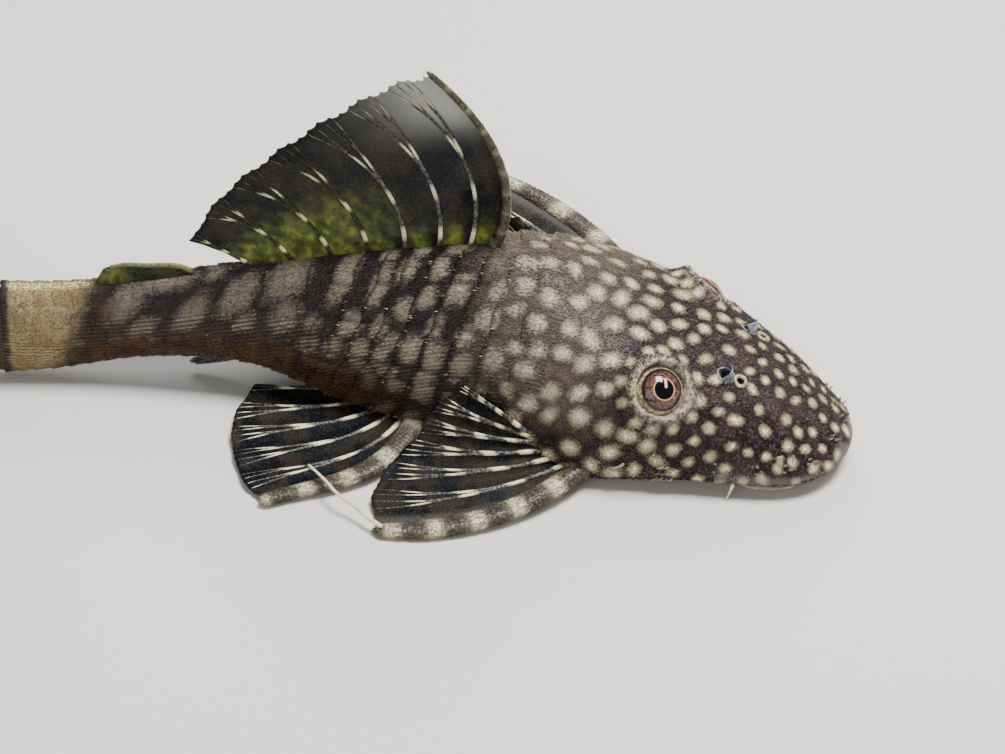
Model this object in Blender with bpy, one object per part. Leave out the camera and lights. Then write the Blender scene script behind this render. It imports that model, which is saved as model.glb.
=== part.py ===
"""A bristlenose pleco at life size, resting on its belly with its fins spread.

The fish faces +X and its left side is +Y. The floor is z = 0, and the origin is the resting
flat under the belly. Sizes are in millimetres until a mesh is made. A place on the fish is
given by s, how far it lies behind the snout tip along the bent axis of the body, by how far
out it lies to one side, and by its height above the floor.
"""
import math
import random

import bmesh
import bpy
import numpy as np

MM = 0.001
GAP = 0.3

# Driving sizes: the standard length runs from the snout tip to the last plate
STANDARD_LENGTH = 85.4
HEAD_LENGTH = 28.6
REST_PLACE = 40.0
TRUNK_PLATES = 14
TAIL_PLATES = 11
FORM_END = 86
RIGHT = -1
LEFT = 1

# The body's form: each pair is a distance behind the snout tip and the value there
HALF_WIDTH = [(0, 0), (1.5, 4.9), (4, 7.2), (8, 8.9), (12, 10.0), (17.5, 11.5), (22, 12.4), (26, 13.0),
              (30, 12.5), (34, 11.6), (38, 10.6), (45, 9.0), (52, 7.4), (60, 5.2), (68, 4.0), (75, 3.1),
              (80, 2.8), (86, 2.5)]
BACK_HEIGHT = [(0, 2.5), (1.5, 4.6), (4, 6.5), (8, 9.2), (12, 10.8), (17.5, 12.6), (22, 14.1), (26, 15.6),
               (30, 16.8), (34, 17.3), (38, 17.2), (45, 16.0), (52, 14.5), (60, 13.0), (66, 12.0),
               (70, 11.4), (75, 10.9), (80, 10.6), (86, 10.8)]
WIDEST_HEIGHT = [(0, 2.5), (1.5, 2.3), (4, 2.1), (12, 2.2), (17.5, 2.5), (22, 2.8), (26, 3.2), (34, 4.0),
                 (45, 4.5), (60, 5.7), (75, 5.8), (86, 5.8)]
BELLY_HEIGHT = [(0, 2.5), (1.5, 1.6), (4, 1.3), (14, 1.3), (18, 0.7), (22, 0.1), (26, -0.15), (38, -0.2),
                (48, -0.1), (52, 0.6), (56, 1.9), (60, 3.2), (66, 3.5), (72, 2.7), (80, 1.0), (86, 0.5)]
FULLNESS_ABOVE = [(0, 1.9), (4, 1.6), (12, 2.2), (17.5, 2.5), (26, 2.1), (34, 1.8), (45, 1.7), (60, 1.75),
                  (75, 1.9), (86, 2.2)]
FULLNESS_BELOW = [(0, 2.0), (4, 3.0), (12, 4.0), (26, 4.0), (45, 3.2), (60, 2.4), (75, 2.0), (86, 2.2)]
TURN_TO_RIGHT = [(0, 18.9), (14, 18.9), (26, 14.3), (36, 9.4), (48, 2.3), (60, -2.1), (72, -5.0), (86, -5.9)]

# Plates along the sides, in rows from the back's midline down to the bare belly
PLATE_ROWS = 5
PLATE_RISE = 0.3
PLATE_STEP = 0.12
PLATE_POINT = 0.35
PLATE_SHORTENING = 0.22
PLATE_SLANT = [(0, 0), (28, 0), (34, 6.0), (42, 9.5), (50, 7.5), (60, 3.6), (70, 2.0), (80, 0.6), (86, 0)]
PLATED_ON_TRUNK = 0.74
PLATED_ON_TAIL = 0.97
BELLY_STRIPS = 3

# The head's features: s, and the share of the way round from the back's midline to the belly's
EYE_PLACE = (17.5, 0.296)
EYE_RADIUS = 2.75
EYE_DEPTH = 1.75
RIM_RADIUS = 2.75
RIM_WIRE = 0.55
RIM_LIFT = 0.12
NOSTRIL_PLACE = (11.5, 0.155)
NOSTRIL_STEP = 1.0
BARBEL_PLACE = (9.0, 0.6)
CHEEK_START = 17.0
CHEEK_SHARE = 0.575
CHEEK_STEP = 1.25
SNOUT_TENTACLES = [(1.2, 0.16), (2.3, 0.4), (4.2, 0.46), (6.6, 0.5), (10.5, 0.53)]
HEAD_RINGS = 24
HEAD_AROUND = 18

# The sucker mouth under the snout
MOUTH_CENTRE = 8.2
MOUTH_LENGTH = 6.6
MOUTH_WIDTH = 7.4
MOUTH_TOP = 1.0
MOUTH_AROUND = 32

# Half thicknesses of a fin's membrane and of the ridge that each ray adds
FIN_MEMBRANE = 0.27
FIN_RAY = 0.17


def curve(points):
    """A smooth curve through points, eased by the square root of s so that the snout is round."""
    table = np.array(points, float)
    x = np.sqrt(table[:, 0])
    y = table[:, 1]
    slope = np.gradient(y, x)

    def value(s):
        q = np.sqrt(np.maximum(np.asarray(s, float), 0))
        i = np.clip(np.searchsorted(x, q, side="right") - 1, 0, len(x) - 2)
        h = x[i + 1] - x[i]
        t = (q - x[i]) / h
        start = (2 * t**3 - 3 * t**2 + 1) * y[i] + (t**3 - 2 * t**2 + t) * h * slope[i]
        return start + (3 * t**2 - 2 * t**3) * y[i + 1] + (t**3 - t**2) * h * slope[i + 1]

    return value


half_width = curve(HALF_WIDTH)
back_height = curve(BACK_HEIGHT)
widest_height = curve(WIDEST_HEIGHT)
belly_height = curve(BELLY_HEIGHT)
fullness_above = curve(FULLNESS_ABOVE)
fullness_below = curve(FULLNESS_BELOW)
turn_to_right = curve(TURN_TO_RIGHT)
slant_of_plates = curve(PLATE_SLANT)

AXIS_STEP = 0.1
AXIS_S = np.arange(0, 125, AXIS_STEP)
AXIS_TURN = np.radians(turn_to_right(np.minimum(AXIS_S, FORM_END)))


def summed(values):
    """The running sum of values along the axis, zero at the resting place."""
    steps = np.concatenate([[0], np.cumsum((values[1:] + values[:-1]) * AXIS_STEP / 2)])
    return steps - np.interp(REST_PLACE, AXIS_S, steps)


AXIS_X = -summed(np.cos(AXIS_TURN))
AXIS_Y = summed(np.sin(AXIS_TURN))


def place(s, side, z):
    """World points for places on the fish, side being millimetres toward its left."""
    s, side, z = np.broadcast_arrays(np.asarray(s, float), side, z)
    turn = np.interp(s, AXIS_S, AXIS_TURN)
    x = np.interp(s, AXIS_S, AXIS_X) + np.sin(turn) * side
    y = np.interp(s, AXIS_S, AXIS_Y) + np.cos(turn) * side
    return np.stack([x, y, z], -1)


def section(s, t, grow=0.0):
    """Side and height of the skin at angle t, 0 on the back and pi on the belly."""
    above = t <= math.pi / 2
    power = 2 / np.where(above, fullness_above(s), fullness_below(s))
    waist = widest_height(s)
    reach = np.where(above, back_height(s) + grow - waist, waist - belly_height(s) + grow)
    side = (half_width(s) + grow) * np.abs(np.sin(t)) ** power
    z = waist + np.where(above, 1, -1) * reach * np.abs(np.cos(t)) ** power
    return side, z


GIRTH_S = np.linspace(0.02, FORM_END, 260)
GIRTH_T = np.linspace(0, math.pi, 241)


def girth_table():
    """For each s, the share of the way round that each angle has reached."""
    side, z = section(GIRTH_S[:, None], GIRTH_T[None, :])
    steps = np.hypot(np.diff(side, axis=1), np.diff(z, axis=1))
    run = np.concatenate([np.zeros((len(GIRTH_S), 1)), np.cumsum(steps, axis=1)], axis=1)
    return run / run[:, -1:]


GIRTH = girth_table()


def angle_at(s, share):
    """The angle at which a share of the way round from back to belly is reached."""
    s, share = np.broadcast_arrays(np.asarray(s, float), np.asarray(share, float))
    row = np.clip(np.searchsorted(GIRTH_S, s) - 1, 0, len(GIRTH_S) - 2)
    mix = np.clip((s - GIRTH_S[row]) / (GIRTH_S[row + 1] - GIRTH_S[row]), 0, 1)
    angle = np.empty(s.shape)
    for i in np.ndindex(s.shape):
        low = np.interp(share[i], GIRTH[row[i]], GIRTH_T)
        high = np.interp(share[i], GIRTH[row[i] + 1], GIRTH_T)
        angle[i] = low + (high - low) * mix[i]
    return angle


def skin(s, share, grow=0.0):
    """World points of the skin. A negative share is on the fish's right."""
    s, share, grow = np.broadcast_arrays(np.asarray(s, float), np.asarray(share, float), grow)
    side, z = section(s, angle_at(s, np.abs(share)), grow)
    return place(s, side * np.sign(share), np.maximum(z, 0.0))


def skin_frame(s, share):
    """A point of the skin with its outward, backward and downward directions."""
    point = skin(s, share)
    back = skin(s + 0.3, share) - skin(s - 0.3, share)
    down = skin(s, share + math.copysign(0.01, share)) - skin(s, share - math.copysign(0.01, share))
    back /= np.linalg.norm(back)
    out = np.cross(back, down) * math.copysign(1, share)
    out /= np.linalg.norm(out)
    if out @ (point - place(s, 0, widest_height(s))) < 0:
        out = -out
    return point, out, back, np.cross(out, back)


def smooth_step(x):
    x = np.clip(x, 0, 1)
    return x * x * (3 - 2 * x)


def material(name, color, roughness):
    found = bpy.data.materials.get(name) or bpy.data.materials.new(name)
    found.use_nodes = True
    shader = found.node_tree.nodes["Principled BSDF"]
    shader.inputs["Base Color"].default_value = (*color, 1)
    shader.inputs["Roughness"].default_value = roughness
    return found


def skin_material():
    return material("plated_skin", (0.07, 0.05, 0.045), 0.55)


def fin_material():
    return material("fin_membrane", (0.05, 0.05, 0.055), 0.5)


def lip_material():
    return material("lip_skin", (0.35, 0.28, 0.23), 0.6)


def eye_material():
    return material("eye", (0.45, 0.2, 0.12), 0.12)


def mesh_object(name, points, faces, finish):
    mesh = bpy.data.meshes.new(name)
    mesh.from_pydata([tuple(p) for p in np.asarray(points) * MM], [], faces)
    mesh.materials.append(finish)
    body = bmesh.new()
    body.from_mesh(mesh)
    bmesh.ops.triangulate(body, faces=[f for f in body.faces if len(f.verts) > 4])
    bmesh.ops.recalc_face_normals(body, faces=body.faces)
    body.to_mesh(mesh)
    body.free()
    made = bpy.data.objects.new(name, mesh)
    bpy.context.scene.collection.objects.link(made)
    return made


def combine(target, others, operation):
    """Joins a collection of closed meshes to the target, or cuts them from it."""
    tools = bpy.data.collections.new("tools")
    bpy.context.scene.collection.children.link(tools)
    for other in others:
        bpy.context.scene.collection.objects.unlink(other)
        tools.objects.link(other)
    change = target.modifiers.new(operation, "BOOLEAN")
    change.operation = operation
    change.operand_type = "COLLECTION"
    change.collection = tools
    change.solver = "EXACT"
    change.use_self = True
    bpy.context.view_layer.update()
    seen = target.evaluated_get(bpy.context.evaluated_depsgraph_get())
    mesh = bpy.data.meshes.new_from_object(seen)
    target.modifiers.remove(change)
    target.data = mesh
    for other in others:
        bpy.data.objects.remove(other)
    bpy.data.collections.remove(tools)
    keep_largest(target)


def keep_largest(target):
    """Keeps the largest closed surface of a mesh."""
    body = bmesh.new()
    body.from_mesh(target.data)
    bmesh.ops.remove_doubles(body, verts=body.verts, dist=1e-7)
    bmesh.ops.triangulate(body, faces=body.faces)
    left = set(body.faces)
    groups = []
    while left:
        start = left.pop()
        group = [start]
        for face in group:
            for edge in face.edges:
                for other in edge.link_faces if len(edge.link_faces) == 2 else ():
                    if other in left:
                        left.discard(other)
                        group.append(other)
        groups.append(group)
    groups.sort(key=lambda group: sum(face.calc_area() for face in group))
    for group in groups[:-1]:
        bmesh.ops.delete(body, geom=group, context="FACES")
    bmesh.ops.delete(body, geom=[v for v in body.verts if not v.link_faces], context="VERTS")
    body.to_mesh(target.data)
    body.free()


def ring_faces(rings, around, first_pole=None, last_pole=None):
    """Faces of rings of points that close on themselves, with a fan at each pole."""
    faces = []
    for i in range(rings - 1):
        for j in range(around):
            a = i * around + j
            b = i * around + (j + 1) % around
            faces.append((a, b, b + around))
            faces.append((a, b + around, a + around))
    end = (rings - 1) * around
    for j in range(around):
        if first_pole is not None:
            faces.append((first_pole, (j + 1) % around, j))
        if last_pole is not None:
            faces.append((last_pole, end + j, end + (j + 1) % around))
    return faces


def both_sides(half):
    """Shares for a whole ring, down the right side and up the left, from one side's shares."""
    half = np.asarray(half, float)
    return np.concatenate([-half[..., :-1], half[..., :0:-1]], axis=-1)


def tapered_spike(name, root, direction, length, radius, finish, sides=5, bend=(0, 0, 0), sink=0.5):
    """A round spike with its root sunk, a ring half way and a point."""
    direction = np.asarray(direction, float) / np.linalg.norm(direction)
    across = np.cross(direction, (0.3, 0.2, 1.0))
    across /= np.linalg.norm(across)
    over = np.cross(direction, across)
    points = []
    for along, size in ((-sink / length, 1.0), (0.45, 0.72)):
        centre = root + direction * along * length + np.asarray(bend) * max(along, 0) ** 2
        for k in range(sides):
            turn = 2 * math.pi * k / sides
            points.append(centre + radius * size * (math.cos(turn) * across + math.sin(turn) * over))
    points.append(root + direction * length + np.asarray(bend))
    points.append(root - direction * sink)
    return mesh_object(name, points, ring_faces(2, sides, 2 * sides + 1, 2 * sides), finish)


def ball(name, centre, axes, finish, around=12, rings=7):
    """An ellipsoid on three axis vectors."""
    u, v, w = (np.asarray(a, float) for a in axes)
    points = []
    for i in range(1, rings):
        polar = math.pi * i / rings
        for k in range(around):
            turn = 2 * math.pi * k / around
            flat = math.cos(turn) * u + math.sin(turn) * v
            points.append(centre + math.sin(polar) * flat + math.cos(polar) * w)
    points.append(centre + w)
    points.append(centre - w)
    count = len(points)
    return mesh_object(name, points, ring_faces(rings - 1, around, count - 2, count - 1), finish)


def rim(name, centre, axes, radius, wire, finish, around=18, sides=6):
    """A ring of round wire about the third axis, for the raised edge of an orbit."""
    u, v, w = axes
    points = []
    for i in range(around):
        turn = 2 * math.pi * i / around
        out = math.cos(turn) * u + math.sin(turn) * v
        for k in range(sides):
            roll = 2 * math.pi * k / sides
            points.append(centre + out * (radius + wire * math.cos(roll)) + w * wire * math.sin(roll))
    faces = []
    for i in range(around):
        for k in range(sides):
            a = i * sides + k
            b = i * sides + (k + 1) % sides
            c = (i + 1) % around * sides + (k + 1) % sides
            d = (i + 1) % around * sides + k
            faces.append((a, b, c, d))
    return mesh_object(name, points, faces, finish)


def eye_frame(side):
    """Where an eyeball sits and the axes of its socket, the third one looking out."""
    s, share = EYE_PLACE
    point, out, back, down = skin_frame(s, side * share)
    out = out - 0.18 * back
    out /= np.linalg.norm(out)
    back = back - out * (back @ out)
    back /= np.linalg.norm(back)
    return point - out * EYE_DEPTH, (back, np.cross(out, back), out)


def head_swell(s, share):
    """How far the head's bones stand out from its plain form."""
    share = np.abs(share)
    eye_s, eye_share = EYE_PLACE
    orbit = 0.45 * np.exp(-(((s - eye_s) / 3.6) ** 2 + ((share - eye_share) / 0.13) ** 2))
    between = -0.3 * np.exp(-(((s - 17) / 5) ** 2 + ((share - 0.12) / 0.1) ** 2))
    keel = 0.35 * np.exp(-((share / 0.05) ** 2)) * smooth_step((s - 19) / 6)
    cheek = 0.3 * np.exp(-(((s - 23) / 3.2) ** 2 + ((share - 0.56) / 0.1) ** 2))
    snout_edge = -0.12 * np.exp(-(((share - 0.42) / 0.05) ** 2)) * (1 - smooth_step((s - 8) / 5))
    return orbit + between + keel + cheek + snout_edge


def head_mesh(name, grow=0.0):
    """The head as rings that crowd toward the snout tip."""
    first = 0.12
    spread = np.linspace(0, 1, HEAD_RINGS)
    stations = first + (HEAD_LENGTH - GAP / 2 - first) * spread ** 1.45
    shares = both_sides(np.linspace(0, 1, HEAD_AROUND + 1))
    s = stations[:, None] + 0 * shares
    share = 0 * stations[:, None] + shares
    fade = smooth_step(s / 3)
    points = skin(s, share, grow + fade * head_swell(s, share)).reshape(-1, 3)
    tip = place(0.0, 0, BACK_HEIGHT[0][1])
    end = place(stations[-1], 0, widest_height(stations[-1]))
    points = np.vstack([points, tip, end])
    count = len(points)
    faces = ring_faces(HEAD_RINGS, len(shares), count - 2, count - 1)
    return mesh_object(name, points, faces, skin_material())


def plate_slant(s, share):
    """Plates lower on the side lie farther back."""
    return np.maximum(slant_of_plates(s), 0) * share


def plate_edge(plate):
    """Where a plate ends on the back: each plate is a little shorter than the one ahead."""
    part = plate / (TRUNK_PLATES + TAIL_PLATES)
    eased = (1 + PLATE_SHORTENING) * part - PLATE_SHORTENING * part**2
    return HEAD_LENGTH + (STANDARD_LENGTH - HEAD_LENGTH) * eased


def plate_ring(s, rise, pointed, grow):
    """One ring of the plated skin, with the plates' rise and point across each row."""
    plated = PLATED_ON_TRUNK + (PLATED_ON_TAIL - PLATED_ON_TRUNK) * smooth_step((s - 52) / 8)
    half = []
    for row in range(PLATE_ROWS):
        for part, row_rise, row_point in ((0.0, 0.0, 0.0), (0.16, 1.0, 0.35), (0.5, 1.25, 1.0), (0.84, 1.0, 0.35)):
            half.append(((row + part) / PLATE_ROWS * plated, rise * row_rise, pointed * row_point))
    for k in range(BELLY_STRIPS + 1):
        half.append((plated + (1 - plated) * k / BELLY_STRIPS, 0.0, 0.0))
    half = np.array(half)
    shares = both_sides(half[:, 0])
    rises = np.abs(both_sides(half[:, 1])) * smooth_step(np.abs(shares) / 0.05)
    points = np.abs(both_sides(half[:, 2]))
    at = s + plate_slant(s, np.abs(shares)) + PLATE_POINT * points
    return skin(at, shares, grow + PLATE_RISE * rises)


def plated_stretch(name, first_plate, last_plate, grow=0.0):
    """A length of body in rows of plates, each rising to its rear edge and stepping down."""
    start = plate_edge(first_plate)
    end = plate_edge(last_plate)
    rings = [plate_ring(start + GAP / 2, 0.0, 0.0, grow)]
    for plate in range(first_plate + 1, last_plate):
        rear = plate_edge(plate)
        rings.append(plate_ring(rear - PLATE_STEP, 1.0, 1.0, grow))
        rings.append(plate_ring(rear + PLATE_STEP, 0.0, 1.0, grow))
    rings.append(plate_ring(end - GAP / 2, 0.9, 0.0, grow))
    middle = 0.5
    first = place(start + GAP / 2 + plate_slant(start, middle), 0, widest_height(start))
    last = place(end - GAP / 2 + plate_slant(end, middle), 0, widest_height(end))
    points = np.vstack([*rings, first, last])
    count = len(points)
    faces = ring_faces(len(rings), len(rings[0]), count - 2, count - 1)
    return mesh_object(name, points, faces, skin_material())


def trunk_mesh(name, grow=0.0):
    return plated_stretch(name, 0, TRUNK_PLATES, grow)


def tail_mesh(name, grow=0.0):
    return plated_stretch(name, TRUNK_PLATES, TRUNK_PLATES + TAIL_PLATES, grow)


def make_head():
    head = head_mesh("head")
    rng = random.Random(4)
    added = []
    for side in (RIGHT, LEFT):
        centre, axes = eye_frame(side)
        lift = axes[2] * (EYE_DEPTH + RIM_LIFT)
        added.append(rim("rim", centre + lift, axes, RIM_RADIUS, RIM_WIRE, skin_material()))
        added.append(nostril_flap(side))
        added.extend(cheek_spines(side, rng))
        added.append(barbel(side))
        added.extend(snout_tentacles(side, rng))
    combine(head, added, "UNION")
    cuts = []
    for side in (RIGHT, LEFT):
        centre, axes = eye_frame(side)
        radius = EYE_RADIUS + GAP
        cuts.append(ball("socket", centre, [a * radius for a in axes], skin_material(), 18, 10))
        cuts.extend(nostril_pits(side))
    combine(head, cuts, "DIFFERENCE")
    return head


def nostril_flap(side):
    s, share = NOSTRIL_PLACE
    point, out, back, down = skin_frame(s, side * share)
    axes = (down * 0.8, back * 0.27, out * 1.5)
    return ball("flap", point + out * 0.1, axes, skin_material(), 8, 6)


def nostril_pits(side):
    s, share = NOSTRIL_PLACE
    pits = []
    for along in (-NOSTRIL_STEP, NOSTRIL_STEP):
        point, out, back, down = skin_frame(s + along, side * share)
        pits.append(ball("pit", point, (back * 0.42, down * 0.5, out * 0.8), skin_material(), 8, 6))
    return pits


def cheek_spines(side, rng):
    """Hooked spines in a loose patch at the lower corner of the gill cover."""
    spines = []
    for row, count in ((0, 4), (1, 3)):
        for k in range(count):
            s = CHEEK_START + CHEEK_STEP * (k + 0.5 * row)
            share = side * (CHEEK_SHARE - 0.03 * row)
            point, out, back, down = skin_frame(s, share)
            aim = 0.8 * out + 0.75 * back + 0.1 * down
            length = 1.1 + 0.35 * rng.random()
            spines.append(tapered_spike("spine", point, aim, length, 0.26, skin_material(), 4, 0.35 * back))
    return spines


def barbel(side):
    """The white feeler at the corner of the mouth."""
    s, share = BARBEL_PLACE
    point = skin(s, side * share)
    aim = place(s + 0.4, side * 0.15, -1.0) - place(s, 0, 0)
    return tapered_spike("barbel", point, aim, 1.5, 0.3, skin_material(), 5, (0, 0, 0.15))


def snout_tentacles(side, rng):
    """Short soft tentacles in an arc on the bare edge of the snout."""
    tentacles = []
    for s, share in SNOUT_TENTACLES:
        point, out, back, down = skin_frame(s, side * share)
        aim = out - 0.35 * back
        length = 0.8 + 0.4 * rng.random()
        tentacles.append(tapered_spike("tentacle", point, aim, length, 0.27, skin_material(), 5, (0, 0, 0.2)))
    return tentacles


def make_eye(name, side):
    centre, axes = eye_frame(side)
    return ball(name, centre, [a * EYE_RADIUS for a in axes], eye_material(), 18, 11)


def make_mouth():
    """The sucker mouth: a round disc of lips, flat on the floor and hollowed in the middle."""
    profile = [(0.55, MOUTH_TOP), (0.85, MOUTH_TOP - 0.05), (0.97, MOUTH_TOP - 0.35), (1.0, 0.35),
               (0.95, 0.0), (0.8, 0.0), (0.62, 0.3), (0.35, 0.45)]
    points = []
    for out, z in profile:
        for k in range(MOUTH_AROUND):
            turn = 2 * math.pi * k / MOUTH_AROUND
            s = MOUTH_CENTRE - MOUTH_LENGTH * out * math.cos(turn)
            points.append(place(s, MOUTH_WIDTH * out * math.sin(turn), z))
    points.append(place(MOUTH_CENTRE, 0, MOUTH_TOP))
    points.append(place(MOUTH_CENTRE, 0, 0.5))
    count = len(points)
    faces = ring_faces(len(profile), MOUTH_AROUND, count - 2, count - 1)
    return mesh_object("mouth_disc", points, faces, lip_material())


def row_curve(points):
    """A smooth curve through rows of a share and a place."""
    table = np.array(points, float)
    slope = np.gradient(table[:, 1:], table[:, 0], axis=0)

    def value(u):
        i = int(np.clip(np.searchsorted(table[:, 0], u, side="right") - 1, 0, len(table) - 2))
        h = table[i + 1, 0] - table[i, 0]
        t = (u - table[i, 0]) / h
        start = (2 * t**3 - 3 * t**2 + 1) * table[i, 1:] + (t**3 - 2 * t**2 + t) * h * slope[i]
        return start + (3 * t**2 - 2 * t**3) * table[i + 1, 1:] + (t**3 - t**2) * h * slope[i + 1]

    return value


class Fin:
    """A fan of rays: roots on one curve, tips on another, in (s, side, z) of the fish."""

    def __init__(self, roots, tips, rays, bow, side=1, spread=0.0, root_thickness=0.5, steps=7,
                 lift=0.0, lean=0.0):
        self.root = row_curve(roots)
        self.tip = row_curve(tips)
        self.rays = rays
        self.bow = bow
        self.side = side
        self.spread = math.radians(spread)
        self.root_thickness = root_thickness
        self.steps = steps
        self.lift = lift
        self.lean = lean

    def spot(self, u, v):
        """A point of the fan in (s, side, z), v running from root to tip."""
        root = self.root(u)
        tip = self.tip(u)
        bend = 4 * v * (1 - v) * (1 + self.lean * (1 - 2 * v))
        point = root + (tip - root) * v + np.asarray(self.bow(u)) * bend
        hinge = self.root(0)
        turn = self.spread
        along, out = point[0] - hinge[0], point[1] - hinge[1]
        point = np.array(point)
        point[0] = hinge[0] + along * math.cos(turn) - out * math.sin(turn)
        point[1] = hinge[1] + along * math.sin(turn) + out * math.cos(turn)
        point[2] += self.lift * (point[1] - hinge[1])
        return point

    def point(self, u, v):
        s, out, z = self.spot(u, v)
        return place(s, self.side * out, z)

    def edge_path(self, u, count, start=0.0, end=1.03):
        """Points along one ray, for a bar laid over it, running a little past its tip."""
        return [self.point(u, start + (end - start) * i / count) for i in range(count + 1)]

    def normal(self, u, v):
        low_u, high_u = max(u - 0.02, 0), min(u + 0.02, 1)
        low_v, high_v = max(v - 0.02, 0), min(v + 0.02, 1)
        across = self.point(high_u, v) - self.point(low_u, v)
        along = self.point(u, high_v) - self.point(u, low_v)
        out = np.cross(across, along)
        return out / np.linalg.norm(out)

    def mesh(self, name, notch=0.955, lowest=0.12):
        """A closed membrane with a ridge for each ray on both faces."""
        lines = 2 * self.rays + 1
        steps = self.steps
        faces_points = []
        for face in (1, -1):
            for j in range(lines):
                u = j / (lines - 1)
                ridge = FIN_RAY if j % 2 == 0 else 0.0
                reach = 1.0 if j % 2 == 0 else notch
                for i in range(steps + 1):
                    v = i / steps * reach
                    root = self.root_thickness * (1 - smooth_step(v / 0.35))
                    half = FIN_MEMBRANE + root + ridge * (1 - 0.45 * v)
                    point = self.point(u, v) + face * half * self.normal(u, v)
                    point[2] = max(point[2], lowest)
                    faces_points.append(point)
        count = lines * (steps + 1)
        faces = []
        for j in range(lines - 1):
            for i in range(steps):
                a = j * (steps + 1) + i
                b = a + steps + 1
                faces.append((a, b, b + 1))
                faces.append((a, b + 1, a + 1))
                faces.append((count + a, count + b + 1, count + b))
                faces.append((count + a, count + a + 1, count + b + 1))
        edge = [j * (steps + 1) for j in range(lines)]
        edge += [(lines - 1) * (steps + 1) + i for i in range(1, steps + 1)]
        edge += [j * (steps + 1) + steps for j in range(lines - 2, -1, -1)]
        edge += [i for i in range(steps - 1, 0, -1)]
        for k, a in enumerate(edge):
            b = edge[(k + 1) % len(edge)]
            faces.append((a, b, count + b))
            faces.append((a, count + b, count + a))
        return mesh_object(name, faces_points, faces, fin_material())


def spine_tube(name, path, wide, thick, side_vector, lowest=0.0, sides=6):
    """A tapered bar of oval section along a path, for a fin's leading spine."""
    path = [np.asarray(p, float) for p in path]
    points = []
    last = len(path) - 1
    for i, centre in enumerate(path):
        ahead = path[min(i + 1, last)] - path[max(i - 1, 0)]
        ahead /= np.linalg.norm(ahead)
        across = np.asarray(side_vector, float) - ahead * (ahead @ np.asarray(side_vector, float))
        across /= np.linalg.norm(across)
        over = np.cross(ahead, across)
        share = i / last
        for k in range(sides):
            turn = 2 * math.pi * (k + 0.5) / sides
            point = centre + wide(share) * math.cos(turn) * over + thick(share) * math.sin(turn) * across
            point[2] = max(point[2], lowest)
            points.append(point)
    points.append(path[0])
    points.append(path[-1])
    count = len(points)
    return mesh_object(name, points, ring_faces(len(path), sides, count - 2, count - 1), fin_material())


def taper(start, end, power=1.0):
    return lambda share: start + (end - start) * share**power


def pectoral(side, spread, lift, arch, bulge):
    roots = [(0, 23.4, 10.6, 2.1), (1, 29.7, 9.4 + 2.6 * bulge, 4.3)]
    tips = [(0, 45.4, 24.1, 0.45), (0.15, 46.9, 20.2, 0.6), (0.35, 45.6, 16.1, 1.4), (0.6, 42.4, 13.3, 3.7),
            (0.8, 41.0, 12.2, 6.2), (1, 37.7, 11.5, 8.8)]
    return Fin(roots, tips, 6, lambda u: (-2.6 * (1 - u) ** 1.5, arch * (1 - u) ** 1.5 + bulge * u,
                                          bulge * u - 0.35 * (1 - u)), side, spread, 0.25, lift=lift)


def pelvic(side, spread):
    roots = [(0, 43.0, 7.0, 1.7), (1, 47.6, 4.9, 1.6)]
    tips = [(0, 58.6, 20.8, 0.6), (0.15, 60.5, 19.0, 0.6), (0.4, 62.1, 14.8, 0.6), (0.6, 62.6, 11.3, 0.7),
            (0.8, 62.2, 7.9, 0.9), (1, 60.5, 4.2, 1.2)]
    return Fin(roots, tips, 5, lambda u: (-1.6 * (1 - u), 3.2 * (1 - u), -0.2), side, spread, 0.2, 6, lean=0.6)


def make_pectoral(name, side, spread, lift, arch, bulge, trunk_cutter, head_cutter):
    fan = pectoral(side, spread, lift, arch, bulge)
    fin = fan.mesh(name)
    added = [spine_tube("spine", fan.edge_path(0, 9), taper(1.15, 0.6), taper(0.95, 0.5), (0, 0, 1))]
    if side == RIGHT:
        added.append(filament())
    combine(fin, added, "UNION")
    combine(fin, [trunk_cutter(), head_cutter()], "DIFFERENCE")
    return fin


def filament():
    """A loose pale thread that curls back from the tip of the right pectoral spine."""
    path = []
    for i in range(9):
        v = i / 8
        bow = 4 * v * (1 - v)
        path.append(place(45.0 + 9.0 * v, -24.0 + 6.6 * v - 0.9 * bow, 0.8 + 1.5 * v**0.7))
    return spine_tube("thread", path, taper(0.32, 0.22), taper(0.32, 0.22), (0, 0, 1), sides=5)


def make_pelvic(name, side, spread, trunk_cutter, tail_cutter):
    fan = pelvic(side, spread)
    fin = fan.mesh(name)
    spine = spine_tube("spine", fan.edge_path(0, 8), taper(1.0, 0.5), taper(0.65, 0.45), (0, 0, 1))
    combine(fin, [spine], "UNION")
    combine(fin, [trunk_cutter(), tail_cutter()], "DIFFERENCE")
    return fin


def dorsal_root(u):
    s = 37.3 + 22.4 * u**1.15
    return (u, s, 0.0, float(back_height(s)) - 1.1)


def make_dorsal(trunk_cutter):
    roots = [dorsal_root(k / 7) for k in range(8)]
    tips = [(0, 43.8, 0, 36.2), (1 / 7, 46.9, 0.2, 35.0), (2 / 7, 50.6, 0.4, 32.5), (4 / 7, 58.2, 0.7, 26.3),
            (6 / 7, 64.6, 0.6, 19.6), (1, 66.8, 0.3, 15.6)]
    fan = Fin(roots, tips, 7, lambda u: (-3.4 * (1 - u) - 0.4, 0.5, 0.0), LEFT)
    fin = fan.mesh("dorsal_fin")
    spine = spine_tube("spine", fan.edge_path(0, 10), taper(0.65, 0.35), taper(0.85, 0.4), (1, 0, 0))
    spinelet = ball("spinelet", place(36.6, 0, float(back_height(36.6)) + 0.1),
                    (np.array((1.3, 0, 0)), np.array((0, 0.8, 0)), np.array((0, 0, 1.1))), fin_material(), 8, 6)
    combine(fin, [spine, spinelet], "UNION")
    combine(fin, [trunk_cutter()], "DIFFERENCE")
    return fin


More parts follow.
